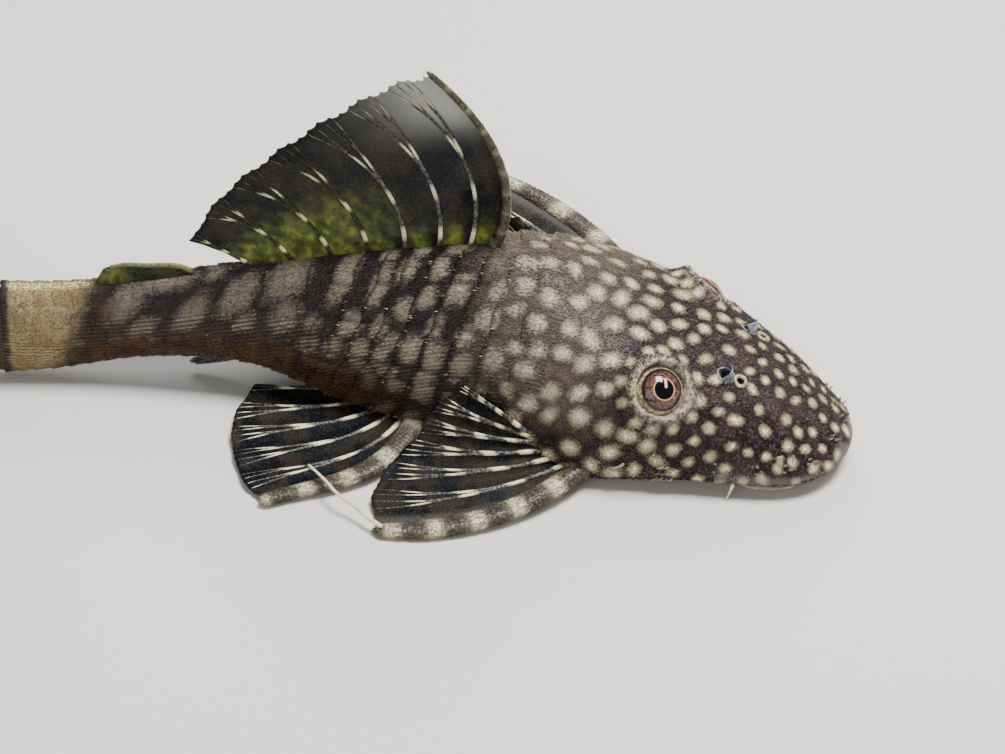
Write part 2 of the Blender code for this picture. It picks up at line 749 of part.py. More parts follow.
def make_adipose(tail_cutter, trunk_cutter):
    """A low fin held by one small spine along its upper edge."""
    top = row_curve([(0, 66.4, 12.0), (0.15, 67.6, 12.7), (0.5, 70.9, 12.9), (0.85, 74.2, 12.8),
                     (0.95, 75.4, 12.3), (1, 76.0, 11.0)])
    steps = 8
    points = []
    for k in range(steps + 1):
        s, height = top(k / steps)
        low = place(s, 0, float(back_height(s)) - 0.7)
        high = place(s, 0, height)
        for point, half in ((low, 0.5), (high, 0.3)):
            for face in (-half, half):
                points.append(point + np.array((0, face, 0)))
    order = (0, 1, 3, 2)
    faces = []
    for k in range(steps):
        for j in range(4):
            a = 4 * k + order[j]
            b = 4 * k + order[(j + 1) % 4]
            faces.append((a, b, b + 4))
            faces.append((a, b + 4, a + 4))
    faces.append((0, 1, 3, 2))
    faces.append(tuple(4 * steps + j for j in order))
    fin = mesh_object("adipose_fin", points, faces, fin_material())
    path = [place(top(v)[0], 0, top(v)[1]) for v in np.linspace(0.02, 0.86, 7)]
    combine(fin, [spine_tube("spine", path, taper(0.45, 0.4), taper(0.4, 0.35), (0, 0, 1), sides=5)], "UNION")
    combine(fin, [tail_cutter(), trunk_cutter()], "DIFFERENCE")
    return fin


def make_anal(trunk_cutter, tail_cutter):
    roots = [(0, 57.4, 0, 3.0), (1, 60.6, 0, 3.9)]
    tips = [(0, 66.6, 0, 0.55), (0.5, 67.2, 0, 1.0), (1, 65.6, 0, 1.75)]
    fan = Fin(roots, tips, 4, lambda u: (0, 0, -0.3 * (1 - u)), LEFT, 0, 0.25, 5)
    fin = fan.mesh("anal_fin")
    combine(fin, [trunk_cutter(), tail_cutter()], "DIFFERENCE")
    return fin


def make_caudal():
    base = STANDARD_LENGTH + GAP / 2
    roots = [(0, base, 0, 10.0), (1, base, 0, 1.15)]
    tips = [(0, 107.2, 1.6, 20.0), (0.12, 105.9, 1.5, 18.0), (0.3, 105.2, 1.3, 14.7), (0.5, 105.2, 1.2, 10.7),
            (0.7, 106.9, 1.2, 6.8), (0.88, 110.4, 1.5, 3.0), (1, 113.5, 1.8, 0.7)]
    fan = Fin(roots, tips, 15, lambda u: (0, -0.5, 0.5 * (1 - 2 * u)), LEFT, 0, 0.9, 6)
    fin = fan.mesh("caudal_fin")
    added = []
    for u in (0, 1):
        path = fan.edge_path(u, 8, 0.02)
        added.append(spine_tube("spine", path, taper(0.62, 0.38), taper(0.9, 0.42), (0, 1, 0), sides=6))
    combine(fin, added, "UNION")
    return fin


def clear_scene():
    for found in list(bpy.data.objects):
        bpy.data.objects.remove(found)


def main():
    clear_scene()
    make_head()
    make_eye("eye_right", RIGHT)
    make_eye("eye_left", LEFT)
    make_mouth()
    trunk_mesh("trunk")
    tail_mesh("tail")

    def trunk_cutter():
        return trunk_mesh("trunk_cutter", GAP)

    def tail_cutter():
        return tail_mesh("tail_cutter", GAP)

    def head_cutter():
        return head_mesh("head_cutter", GAP)

    make_pectoral("pectoral_fin_right", RIGHT, 0, 0.0, 3.0, 1.0, trunk_cutter, head_cutter)
    make_pectoral("pectoral_fin_left", LEFT, 17, 0.2, 1.5, 0.0, trunk_cutter, head_cutter)
    make_pelvic("pelvic_fin_right", RIGHT, 0, trunk_cutter, tail_cutter)
    make_pelvic("pelvic_fin_left", LEFT, 4, trunk_cutter, tail_cutter)
    make_dorsal(trunk_cutter)
    make_adipose(tail_cutter, trunk_cutter)
    make_anal(trunk_cutter, tail_cutter)
    make_caudal()


main()
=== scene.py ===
# %% [markdown]
# A bristlenose pleco, at life size.
#
# This lesson dresses a small armoured catfish: a body in bony plates, a spotted skin set with tiny
# teeth, eyes that look up from the top of the head, and fins held open by branching rays.
# The solid model underneath is fixed, so every piece here is worked out in its millimetres.

# %% The fixed frame
import math
import random

import bpy
import numpy as np
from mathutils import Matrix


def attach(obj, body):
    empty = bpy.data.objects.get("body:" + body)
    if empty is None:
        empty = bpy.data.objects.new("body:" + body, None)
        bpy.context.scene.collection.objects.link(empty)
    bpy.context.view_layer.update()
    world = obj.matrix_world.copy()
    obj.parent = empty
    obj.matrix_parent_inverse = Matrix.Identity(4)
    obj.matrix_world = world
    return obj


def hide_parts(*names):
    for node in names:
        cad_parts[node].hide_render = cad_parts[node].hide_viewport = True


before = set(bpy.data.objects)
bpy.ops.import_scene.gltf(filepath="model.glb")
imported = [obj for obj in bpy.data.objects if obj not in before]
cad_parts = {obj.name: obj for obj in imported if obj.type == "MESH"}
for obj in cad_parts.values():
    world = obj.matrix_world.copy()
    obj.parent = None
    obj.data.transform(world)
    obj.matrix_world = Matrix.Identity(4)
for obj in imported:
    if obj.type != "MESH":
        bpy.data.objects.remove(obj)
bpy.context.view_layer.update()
MM = 0.001
RIGHT = -1
LEFT = 1
print("nodes in the frame:", ", ".join(sorted(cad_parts)))

# %% [markdown]
# The form of the fish.
#
# The real animal is a tapered tube of bone: wide and flat below, domed above, turning a little
# to its right at the head. It could be sculpted, but a form that is worked out can carry plates,
# spots and teeth that know where they lie. A place is given by s, the distance behind the snout
# tip along the bent axis, and by a share of the way round from the back (0) to the belly (1),
# which is negative on the fish's right.

# %% The body's curves
HEAD_LENGTH = 28.6
STANDARD_LENGTH = 85.4
REST_PLACE = 40.0
FORM_END = 86
HALF_WIDTH = [(0, 0), (1.5, 4.9), (4, 7.2), (8, 8.9), (12, 10.0), (17.5, 11.5), (22, 12.4), (26, 13.0),
              (30, 12.5), (34, 11.6), (38, 10.6), (45, 9.0), (52, 7.4), (60, 5.2), (68, 4.0), (75, 3.1),
              (80, 2.8), (86, 2.5)]
BACK_HEIGHT = [(0, 2.5), (1.5, 4.6), (4, 6.5), (8, 9.2), (12, 10.8), (17.5, 12.6), (22, 14.1), (26, 15.6),
               (30, 16.8), (34, 17.3), (38, 17.2), (45, 16.0), (52, 14.5), (60, 13.0), (66, 12.0),
               (70, 11.4), (75, 10.9), (80, 10.6), (86, 10.8)]
WIDEST_HEIGHT = [(0, 2.5), (1.5, 2.3), (4, 2.1), (12, 2.2), (17.5, 2.5), (22, 2.8), (26, 3.2), (34, 4.0),
                 (45, 4.5), (60, 5.7), (75, 5.8), (86, 5.8)]
BELLY_HEIGHT = [(0, 2.5), (1.5, 1.6), (4, 1.3), (14, 1.3), (18, 0.7), (22, 0.1), (26, -0.15), (38, -0.2),
                (48, -0.1), (52, 0.6), (56, 1.9), (60, 3.2), (66, 3.5), (72, 2.7), (80, 1.0), (86, 0.5)]
FULLNESS_ABOVE = [(0, 1.9), (4, 1.6), (12, 2.2), (17.5, 2.5), (26, 2.1), (34, 1.8), (45, 1.7), (60, 1.75),
                  (75, 1.9), (86, 2.2)]
FULLNESS_BELOW = [(0, 2.0), (4, 3.0), (12, 4.0), (26, 4.0), (45, 3.2), (60, 2.4), (75, 2.0), (86, 2.2)]
TURN_TO_RIGHT = [(0, 18.9), (14, 18.9), (26, 14.3), (36, 9.4), (48, 2.3), (60, -2.1), (72, -5.0),
                 (86, -5.9)]
PLATE_SLANT = [(0, 0), (28, 0), (34, 6.0), (42, 9.5), (50, 7.5), (60, 3.6), (70, 2.0), (80, 0.6), (86, 0)]


def curve(points):
    """A smooth curve through points, eased by the square root of s so that the snout is round."""
    table = np.array(points, float)
    x = np.sqrt(table[:, 0])
    y = table[:, 1]
    slope = np.gradient(y, x)

    def value(s):
        q = np.sqrt(np.maximum(np.asarray(s, float), 0))
        i = np.clip(np.searchsorted(x, q, side="right") - 1, 0, len(x) - 2)
        h = x[i + 1] - x[i]
        t = (q - x[i]) / h
        start = (2 * t**3 - 3 * t**2 + 1) * y[i] + (t**3 - 2 * t**2 + t) * h * slope[i]
        return start + (3 * t**2 - 2 * t**3) * y[i + 1] + (t**3 - t**2) * h * slope[i + 1]

    return value


def row_curve(points):
    """A smooth curve through rows of a share and a place."""
    table = np.array(points, float)
    slope = np.gradient(table[:, 1:], table[:, 0], axis=0)

    def value(u):
        u = np.asarray(u, float)
        i = np.clip(np.searchsorted(table[:, 0], u, side="right") - 1, 0, len(table) - 2)
        h = (table[i + 1, 0] - table[i, 0])[..., None]
        t = (u - table[i, 0])[..., None] / h
        start = (2 * t**3 - 3 * t**2 + 1) * table[i, 1:] + (t**3 - 2 * t**2 + t) * h * slope[i]
        return start + (3 * t**2 - 2 * t**3) * table[i + 1, 1:] + (t**3 - t**2) * h * slope[i + 1]

    return value


half_width = curve(HALF_WIDTH)
back_height = curve(BACK_HEIGHT)
widest_height = curve(WIDEST_HEIGHT)
belly_height = curve(BELLY_HEIGHT)
fullness_above = curve(FULLNESS_ABOVE)
fullness_below = curve(FULLNESS_BELOW)
turn_to_right = curve(TURN_TO_RIGHT)
slant_of_plates = curve(PLATE_SLANT)

AXIS_STEP = 0.1
AXIS_S = np.arange(0, 125, AXIS_STEP)
AXIS_TURN = np.radians(turn_to_right(np.minimum(AXIS_S, FORM_END)))


def summed(values):
    """The running sum of values along the axis, zero at the resting place."""
    steps = np.concatenate([[0], np.cumsum((values[1:] + values[:-1]) * AXIS_STEP / 2)])
    return steps - np.interp(REST_PLACE, AXIS_S, steps)


AXIS_X = -summed(np.cos(AXIS_TURN))
AXIS_Y = summed(np.sin(AXIS_TURN))


def place(s, side, z):
    """World points, in millimetres, for places on the fish."""
    s, side, z = np.broadcast_arrays(np.asarray(s, float), side, z)
    turn = np.interp(s, AXIS_S, AXIS_TURN)
    x = np.interp(s, AXIS_S, AXIS_X) + np.sin(turn) * side
    y = np.interp(s, AXIS_S, AXIS_Y) + np.cos(turn) * side
    return np.stack([x, y, z], -1)


def section(s, t, grow=0.0):
    """Side and height of the skin at angle t, 0 on the back and pi on the belly."""
    above = t <= math.pi / 2
    power = 2 / np.where(above, fullness_above(s), fullness_below(s))
    waist = widest_height(s)
    reach = np.where(above, back_height(s) + grow - waist, waist - belly_height(s) + grow)
    side = (half_width(s) + grow) * np.abs(np.sin(t)) ** power
    return side, waist + np.where(above, 1, -1) * reach * np.abs(np.cos(t)) ** power


print("the body is", STANDARD_LENGTH, "mm from snout to last plate and", 2 * half_width(26.0), "mm wide")

# %% [markdown]
# Shares of the way round.
#
# An angle isn't a distance: a flat belly would get all the mesh lines and the flanks none. So
# the way round each section is measured once, and a table turns an even share into its angle.

# %% The table of angles
TABLE_S = np.linspace(0.02, FORM_END, 260)
TABLE_T = np.linspace(0, math.pi, 361)
TABLE_SHARE = np.linspace(0, 1, 201)


def measured_girth():
    """The angle at each even share for each s, and the length of half the way round."""
    side, z = section(TABLE_S[:, None], TABLE_T[None, :])
    steps = np.hypot(np.diff(side, axis=1), np.diff(z, axis=1))
    run = np.concatenate([np.zeros((len(TABLE_S), 1)), np.cumsum(steps, axis=1)], axis=1)
    angles = [np.interp(TABLE_SHARE, row / row[-1], TABLE_T) for row in run]
    return np.array(angles), run[:, -1]


ANGLES, HALF_GIRTH = measured_girth()


def half_girth(s):
    """The length of half the way round, in millimetres."""
    return np.interp(s, TABLE_S, HALF_GIRTH)


def skin(s, share, grow=0.0):
    """World points of the plain skin, grown outward by some millimetres."""
    s, share, grow = np.broadcast_arrays(np.asarray(s, float), np.asarray(share, float), grow)
    row = np.clip((s - TABLE_S[0]) / (TABLE_S[1] - TABLE_S[0]), 0, len(TABLE_S) - 1.001)
    column = np.clip(np.abs(share), 0, 1) * (len(TABLE_SHARE) - 1.001)
    i, j = row.astype(int), column.astype(int)
    p, q = row - i, column - j
    low = ANGLES[i, j] * (1 - q) + ANGLES[i, j + 1] * q
    high = ANGLES[i + 1, j] * (1 - q) + ANGLES[i + 1, j + 1] * q
    side, z = section(s, low * (1 - p) + high * p, grow)
    return place(s, side * np.sign(share), np.maximum(z, 0.0))


def unit(vectors):
    vectors = np.asarray(vectors, float)
    return vectors / np.maximum(np.linalg.norm(vectors, axis=-1, keepdims=True), 1e-12)


def skin_frame(s, share):
    """A point of the skin with its outward, backward and downward directions."""
    point = skin(s, share)
    nudge = math.copysign(0.01, share)
    back = unit(skin(s + 0.3, share) - skin(s - 0.3, share))
    out = unit(np.cross(back, skin(s, share + nudge) - skin(s, share - nudge)))
    if out @ (point - place(s, 0, widest_height(s))) < 0:
        out = -out
    return point, out, back, np.cross(out, back)


def smooth_step(x):
    """0 up to 0, 1 from 1 on, and a soft rise between."""
    x = np.clip(x, 0, 1)
    return x * x * (3 - 2 * x)


def bump(x, centre, width):
    """A soft hill of height 1."""
    return np.exp(-(((x - centre) / width) ** 2))


print("half the way round is", round(HALF_GIRTH.max(), 1), "mm at most")

# %% [markdown]
# The camera.
#
# The photograph looks across the fish from its right and from above, through a long lens. The
# camera's place is given as a turn, a rise and a distance about the point where the belly rests.

# %% Camera
SENSOR = 36.0
FOCAL_PIXELS = 2907.0
PICTURE_WIDTH = 1005.0
LOOK_TURN = math.radians(0.31)
LOOK_RISE = math.radians(38.33)
LOOK_ROLL = math.radians(2.16)
LOOK_DISTANCE = 290.0
LOOK_CENTRE = np.array([0.0, 0.0, 5.0])
AIM_ACROSS = 4.21
AIM_DOWN = 3.56


def make_camera():
    rise, turn, roll = LOOK_RISE, LOOK_TURN, LOOK_ROLL
    back = np.array([math.sin(turn) * math.cos(rise), -math.cos(turn) * math.cos(rise), math.sin(rise)])
    level = np.array([math.cos(turn), math.sin(turn), 0])
    upright = np.cross(back, level)
    across = level * math.cos(roll) + upright * math.sin(roll)
    up = upright * math.cos(roll) - level * math.sin(roll)
    eye = LOOK_CENTRE + back * LOOK_DISTANCE
    toward = unit(eye - (LOOK_CENTRE + across * AIM_ACROSS - up * AIM_DOWN))
    across = unit(across - toward * (across @ toward))
    data = bpy.data.cameras.new("camera")
    data.sensor_width = SENSOR
    data.lens = SENSOR * FOCAL_PIXELS / PICTURE_WIDTH
    data.clip_start = 0.01
    data.clip_end = 10
    camera = bpy.data.objects.new("camera", data)
    bpy.context.scene.collection.objects.link(camera)
    bpy.context.scene.camera = camera
    turned = bpy.context.scene.camera.matrix_world.copy()
    for row in range(3):
        turned[row][0] = across[row]
        turned[row][1] = np.cross(toward, across)[row]
        turned[row][2] = toward[row]
        turned[row][3] = eye[row] * MM
    camera.matrix_world = turned
    return camera


camera = make_camera()
print("lens", round(camera.data.lens, 1), "mm")

# %% [markdown]
# Small tools for meshes and materials.
#
# Every piece is a list of points in millimetres with faces, and most carry numbers on their
# points that a material reads: how pale a spot is, how far along a ray a point lies. That keeps
# the markings on the form itself, so that they look the same from every side.

# %% Mesh and material tools
GRAIN_ROUGHNESS = 0.6
# The body's rings fill this much of the map from top to bottom
MAP_START = 0.02
MAP_SPAN = 0.96


def paint(code):
    """The linear colour of an sRGB hex value."""
    parts = [int(code[i:i + 2], 16) / 255 for i in (1, 3, 5)]
    linear = [p / 12.92 if p <= 0.04045 else ((p + 0.055) / 1.055) ** 2.4 for p in parts]
    return (*linear, 1.0)


def add(tree, kind, inputs=None, **settings):
    """Adds a node with its settings, and values or links for its inputs."""
    node = tree.nodes.new(kind)
    for name, value in settings.items():
        setattr(node, name, value)
    for key, value in (inputs or {}).items():
        if isinstance(value, bpy.types.NodeSocket):
            tree.links.new(value, node.inputs[key])
        else:
            node.inputs[key].default_value = value
    return node


def new_material(name, **constants):
    """A material with its tree and its shader, whose plain sockets are set by name."""
    material = bpy.data.materials.new(name)
    material.use_nodes = True
    tree = material.node_tree
    shader = tree.nodes["Principled BSDF"]
    for key, value in constants.items():
        shader.inputs[key.replace("_", " ")].default_value = value
    return material, tree, shader


def read(tree, name):
    """A number that the mesh carries on its points."""
    return add(tree, "ShaderNodeAttribute", attribute_name=name).outputs["Fac"]


def ranged(tree, value, low, high, start=0.0, end=1.0):
    """A smooth change from start to end while the value goes from low to high."""
    node = add(tree, "ShaderNodeMapRange", {"Value": value, "From Min": low, "From Max": high,
               "To Min": start, "To Max": end}, interpolation_type="SMOOTHSTEP")
    return node.outputs["Result"]


def mixed(tree, share, first, second):
    """One colour turning into another."""
    node = add(tree, "ShaderNodeMix", {"Factor": share}, data_type="RGBA")
    for socket, value in ((node.inputs[6], first), (node.inputs[7], second)):
        if isinstance(value, bpy.types.NodeSocket):
            tree.links.new(value, socket)
        else:
            socket.default_value = value
    return node.outputs[2]


def maths(tree, operation, first, second=0.0):
    node = add(tree, "ShaderNodeMath", {0: first, 1: second}, operation=operation)
    return node.outputs[0]


def grain(tree, size_mm, detail=3.0):
    """Noise in object space whose features are about size_mm across."""
    where = add(tree, "ShaderNodeTexCoord").outputs["Object"]
    node = add(tree, "ShaderNodeTexNoise", {"Vector": where, "Scale": 1 / (size_mm * MM), "Detail": detail,
               "Roughness": GRAIN_ROUGHNESS})
    return node.outputs["Fac"]


def ripple(tree, name, step):
    """A wave from -1 to 1 along a number of the mesh, with one crest to each step."""
    return maths(tree, "SINE", maths(tree, "MULTIPLY", read(tree, name), 2 * math.pi / step))


def mottled(tree, value, low, high, first, second):
    """Two paints: the first where a value is under low, turning into the second toward high."""
    return mixed(tree, ranged(tree, value, low, high), paint(first), paint(second))


def layered(tree, colour, value, low, high, code, strength=1.0):
    """A colour with some paint over it that sets in while a value goes from low to high."""
    return mixed(tree, ranged(tree, value, low, high, 0, strength), colour, paint(code))


def tinted(tree, colour, name, strength, code):
    """A colour with some paint over it wherever a number of the mesh is high."""
    return mixed(tree, maths(tree, "MULTIPLY", read(tree, name), strength), colour, paint(code))


def coat(tree, shader, colour, height=None, strength=0.0, depth=0.0):
    """Gives the shader its colour and, where there is a height, a relief some millimetres deep."""
    tree.links.new(colour, shader.inputs["Base Color"])
    if height is not None:
        relief = add(tree, "ShaderNodeBump", {"Height": height, "Strength": strength,
                     "Distance": depth * MM})
        tree.links.new(relief.outputs["Normal"], shader.inputs["Normal"])


def make_piece(name, points, faces, material, numbers=None, smooth=True):
    """A mesh object from points in millimetres. numbers maps a name to one value for each point."""
    mesh = bpy.data.meshes.new(name)
    mesh.from_pydata((np.asarray(points, float) * MM).tolist(), [], faces)
    for key, values in (numbers or {}).items():
        layer = mesh.attributes.new(key, "FLOAT", "POINT")
        layer.data.foreach_set("value", np.asarray(values, np.float32).ravel())
    if smooth:
        mesh.shade_smooth()
    if material:
        mesh.materials.append(material)
    piece = bpy.data.objects.new(name, mesh)
    bpy.context.scene.collection.objects.link(piece)
    return piece


def closed_rings(rings):
    """Points and faces of a closed tube from an array of rings, with a pole at each end."""
    count, around = rings.shape[:2]
    points = np.vstack([rings.reshape(-1, 3), rings[0].mean(axis=0), rings[-1].mean(axis=0)])
    here = np.arange(around)
    after = (here + 1) % around
    faces = []
    for i in range(count - 1):
        low = i * around
        faces += np.stack([low + here, low + here + around, low + after + around, low + after], -1).tolist()
    last = (count - 1) * around
    pole = count * around
    faces += np.stack([pole + 0 * here, here, after], -1).tolist()
    faces += np.stack([pole + 1 + 0 * here, last + after, last + here], -1).tolist()
    return points, faces


def on_rings(values, around):
    """Numbers for closed_rings' points: one for each ring, with the poles' own."""
    values = np.asarray(values, float)
    return np.concatenate([np.repeat(values, around), values[:1], values[-1:]])


def tube(path, wide, thick, upward, sides):
    """Rings of an oval tube along a path. wide lies in the fin and thick stands on it."""
    path = np.asarray(path, float)
    ahead = unit(np.gradient(path, axis=0))
    upward = np.broadcast_to(np.asarray(upward, float), path.shape)
    over = unit(upward - ahead * (ahead * upward).sum(axis=-1, keepdims=True))
    beside = np.cross(ahead, over)
    turn = 2 * math.pi * (np.arange(sides) + 0.5) / sides
    wide = np.broadcast_to(np.asarray(wide, float), len(path))[:, None, None]
    thick = np.broadcast_to(np.asarray(thick, float), len(path))[:, None, None]
    flat = wide * np.cos(turn)[None, :, None] * beside[:, None]
    return path[:, None] + flat + thick * np.sin(turn)[None, :, None] * over[:, None]


class Bundle:
    """Many small closed forms that become one piece."""

    def __init__(self):
        self.points = []
        self.faces = []
        self.numbers = {}
        self.count = 0

    def add(self, points, faces, **numbers):
        self.points.append(points)
        self.faces += [[corner + self.count for corner in face] for face in faces]
        self.count += len(points)
        for key, values in numbers.items():
            self.numbers.setdefault(key, []).append(np.broadcast_to(values, len(points)))

    def make(self, name, material):
        numbers = {key: np.concatenate(values) for key, values in self.numbers.items()}
        return make_piece(name, np.vstack(self.points), self.faces, material, numbers)


def keep(piece, slot, *nodes):
    """Fixes a finished piece to the fish's one body, hides the solid parts that it stands in for and prints
    its triangles. The slot is not used.
    """
    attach(piece, "root")
    if nodes:
        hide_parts(*nodes)
    triangles = sum(len(face.vertices) - 2 for face in piece.data.polygons)
    print(piece.name, "has", triangles, "triangles")
    return piece


# %% [markdown]
# Plates.
#
# Behind the skull the fish wears five rows of bony plates on each side. Each one rises toward its
# rear edge and lies over the next, like roof tiles, and its edge slants back down the flank. The
# mesh has its rings where the plates have their edges, so that each step is a crisp fold and
# not a blurred wave.

# %% Where the rings and the columns of the skin lie
TRUNK_PLATES = 14
TAIL_PLATES = 11
PLATES = TRUNK_PLATES + TAIL_PLATES
PLATE_ROWS = 5
PLATE_RISE = 0.3
PLATE_POINT = 0.35
PLATE_SHORTENING = 0.22
PLATED_ON_TRUNK = 0.74
PLATED_ON_TAIL = 0.97
HEAD_RINGS = 178
COLUMNS_IN_ROW = 18
BELLY_COLUMNS = 17
PLATE_FRACTIONS = np.array([0.04, 0.14, 0.28, 0.44, 0.6, 0.75, 0.87, 0.95, 1.0])


def plate_edge(plate):
    """Where a plate ends on the back: each plate is a little shorter than the one ahead."""
    part = plate / PLATES
    eased = (1 + PLATE_SHORTENING) * part - PLATE_SHORTENING * part**2
    return HEAD_LENGTH + (STANDARD_LENGTH - HEAD_LENGTH) * eased


def ring_places():
    """For each ring its place on the back, its plate and how far along the plate it lies."""
    first = 0.04
    spread = np.linspace(0, 1, HEAD_RINGS) ** 1.25
    rings = [(s, -1.0, 0.0) for s in first + (HEAD_LENGTH - first) * spread]
    for plate in range(PLATES):
        start, end = plate_edge(plate), plate_edge(plate + 1)
        rings += [(start + (end - start) * part, float(plate), part) for part in PLATE_FRACTIONS]
    return np.array(rings)


RINGS = ring_places()
HALF_COLUMNS = np.arange(PLATE_ROWS * COLUMNS_IN_ROW + BELLY_COLUMNS + 1)


def plated_share(q):
    """How far round the rows of plates reach, for a ring's place on the back."""
    return PLATED_ON_TRUNK + (PLATED_ON_TAIL - PLATED_ON_TRUNK) * smooth_step((q - 52) / 8)


def both_sides(half):
    """A whole ring from one side's values: down the right side, then up the left."""
    return np.concatenate([-half[..., :-1], half[..., :0:-1]], axis=-1)


def skin_places():
    """For each point of the skin its s, share, row and place within its row."""
    q = RINGS[:, :1]
    plated = plated_share(q)
    row = np.minimum(HALF_COLUMNS / COLUMNS_IN_ROW, PLATE_ROWS)[None, :] + 0 * q
    past = np.maximum(HALF_COLUMNS - PLATE_ROWS * COLUMNS_IN_ROW, 0)[None, :] / BELLY_COLUMNS
    share = both_sides(row / PLATE_ROWS * plated + (1 - plated) * past)
    row = np.abs(both_sides(row))
    in_row = np.where(row < PLATE_ROWS, row % 1.0, 0.0)
    behind_head = smooth_step((q - HEAD_LENGTH) / 3) * (1 - smooth_step((q - 83) / 2.4))
    scallop = PLATE_POINT * np.sin(math.pi * in_row) ** 1.3 * behind_head
    s = q + np.maximum(slant_of_plates(q), 0) * np.abs(share) + scallop
    return s, share, row, in_row


SKIN_S, SKIN_SHARE, SKIN_ROW, SKIN_IN_ROW = skin_places()
PLATE_PART = RINGS[:, 2:] + 0 * SKIN_S
PLATE_NUMBER = RINGS[:, 1:2] + 0 * SKIN_S
print("the skin has", SKIN_S.shape[0], "rings of", SKIN_S.shape[1], "points")

# %% [markdown]
# Eyes, and what stands out on the head.
#
# The eyes sit high on the skull and look up and outward, each in a raised ring of bone. The
# skin sinks below the eyeball there, so that the ball shows through a round opening. The rest of
# the head's relief is a sum of soft bumps. The broad ones are the solid head's, and the rise under
# each nostril, the gill slit and the seams between the bones are added to them.

# %% The head's relief
EYE_PLACE = (17.5, 0.296)
EYE_RADIUS = 2.75
EYE_DEPTH = 1.75
EYE_OPENING = 2.42
NOSTRIL_PLACE = (11.5, 0.155)
NOSTRIL_STEP = 0.7
NOSTRIL_WIDTH = 0.42
NOSTRIL_DEPTH = 0.55
# The skin changes its form this far round an eye, and rises to a rim on the way
SOCKET_REACH = 4.6
SOCKET_BLEND = 1.3
RIM_RADIUS = 2.9
RIM_RISE = 0.32
BROW_RISE = 0.3
RIM_FALL = 0.4
SKIN_UNDER_BALL = 0.35


def eye_frame(side):
    """Where an eyeball sits and the axes of its socket, the third one looking out."""
    s, share = EYE_PLACE
    point, out, back, _ = skin_frame(s, side * share)
    out = unit(out - 0.18 * back)
    back = unit(back - out * (back @ out))
    return point - out * EYE_DEPTH, np.array([back, np.cross(out, back), out])


def round_eye(points, side):
    """Points along an eyeball's own axes, and how far each lies from its line of sight."""
    centre, axes = eye_frame(side)
    local = (points - centre) @ axes.T
    return local, np.hypot(local[..., 0], local[..., 1])


def head_swell(s, share):
    """How far the head's bones stand out from its plain form."""
    share = np.abs(share)
    eye_s, eye_share = EYE_PLACE
    orbit = 0.45 * bump(s, eye_s, 3.6) * bump(share, eye_share, 0.13)
    between = -0.3 * bump(s, 17, 5) * bump(share, 0.12, 0.1)
    keel = 0.35 * bump(share, 0, 0.05) * smooth_step((s - 19) / 6)
    cheek = 0.3 * bump(s, 23, 3.2) * bump(share, 0.56, 0.1)
    snout_edge = -0.12 * bump(share, 0.42, 0.05) * (1 - smooth_step((s - 8) / 5))
    nostril = 0.12 * bump(s, NOSTRIL_PLACE[0], 1.8) * bump(share, NOSTRIL_PLACE[1], 0.06)
    gill_slit = -0.35 * bump(s, 23.5 + 6 * (share - 0.72), 0.5) * bump(share, 0.74, 0.07)
    seam_behind_eye = -0.1 * bump(s, 21.6 + 7 * (share - 0.3), 0.28) * smooth_step((share - 0.08) / 0.1)
    seam_over_eye = -0.08 * bump(share, 0.2, 0.008) * bump(s, 18, 4.5)
    fade = 1 - smooth_step((s - 25.5) / 5)
    shaped = orbit + between + cheek + snout_edge + nostril + gill_slit + seam_behind_eye + seam_over_eye
    return smooth_step(s / 3) * (shaped * fade + keel * (1 - smooth_step((s - 33) / 4)))


def plate_relief(part, row, in_row, s, share):
    """How far a plate stands out: it rises to its rear edge and drops to the next one."""
    along = (0.08 + 0.92 * smooth_step(part / 0.97)) * (part < 0.99) * (part > 0)
    beside = smooth_step(in_row / 0.15) * smooth_step((1 - in_row) / 0.15)
    keel = 1 + 0.25 * bump(in_row, 0.5, 0.16)
    off_ridge = smooth_step(np.abs(share) / 0.05)
    flatter = 1 - 0.65 * smooth_step((s - 50) / 12)
    return PLATE_RISE * along * beside * keel * off_ridge * flatter * (row < PLATE_ROWS)


def sink_socket(points, side):
    """Raises the ring round an eye and sinks the skin under the eyeball."""
    centre, axes = eye_frame(side)
    local, far = round_eye(points, side)
    near = (far < SOCKET_REACH) & (local[..., 2] > 0)
    ball = np.sqrt(np.maximum(EYE_RADIUS**2 - far**2, 0))
    upward = axes[:2, 2] / np.hypot(*axes[:2, 2])
    brow = smooth_step((local[..., :2] @ upward / np.maximum(far, 0.1) + 0.1) / 0.9)
    outside = np.maximum(far - RIM_RADIUS, 0)
    ring = EYE_DEPTH + (RIM_RISE + BROW_RISE * brow) * bump(far, RIM_RADIUS, 0.5) - RIM_FALL * outside**2
    blend = smooth_step((SOCKET_REACH - far) / SOCKET_BLEND)
    raised = local[..., 2] * (1 - blend) + np.maximum(ring, local[..., 2]) * blend
    inside = smooth_step((EYE_OPENING + 0.22 - far) / 0.3)
    height = raised * (1 - inside) + (ball - SKIN_UNDER_BALL) * inside
    moved = local.copy()
    moved[..., 2] = np.where(near, height, local[..., 2])
    return np.where(near[..., None], centre + moved @ axes, points)


def nostril_holes(side):
    """The two openings of a nostril, each with its point and outward, backward and downward axes."""
    s, share = NOSTRIL_PLACE
    return [skin_frame(s + along, side * share) for along in (-NOSTRIL_STEP, NOSTRIL_STEP)]


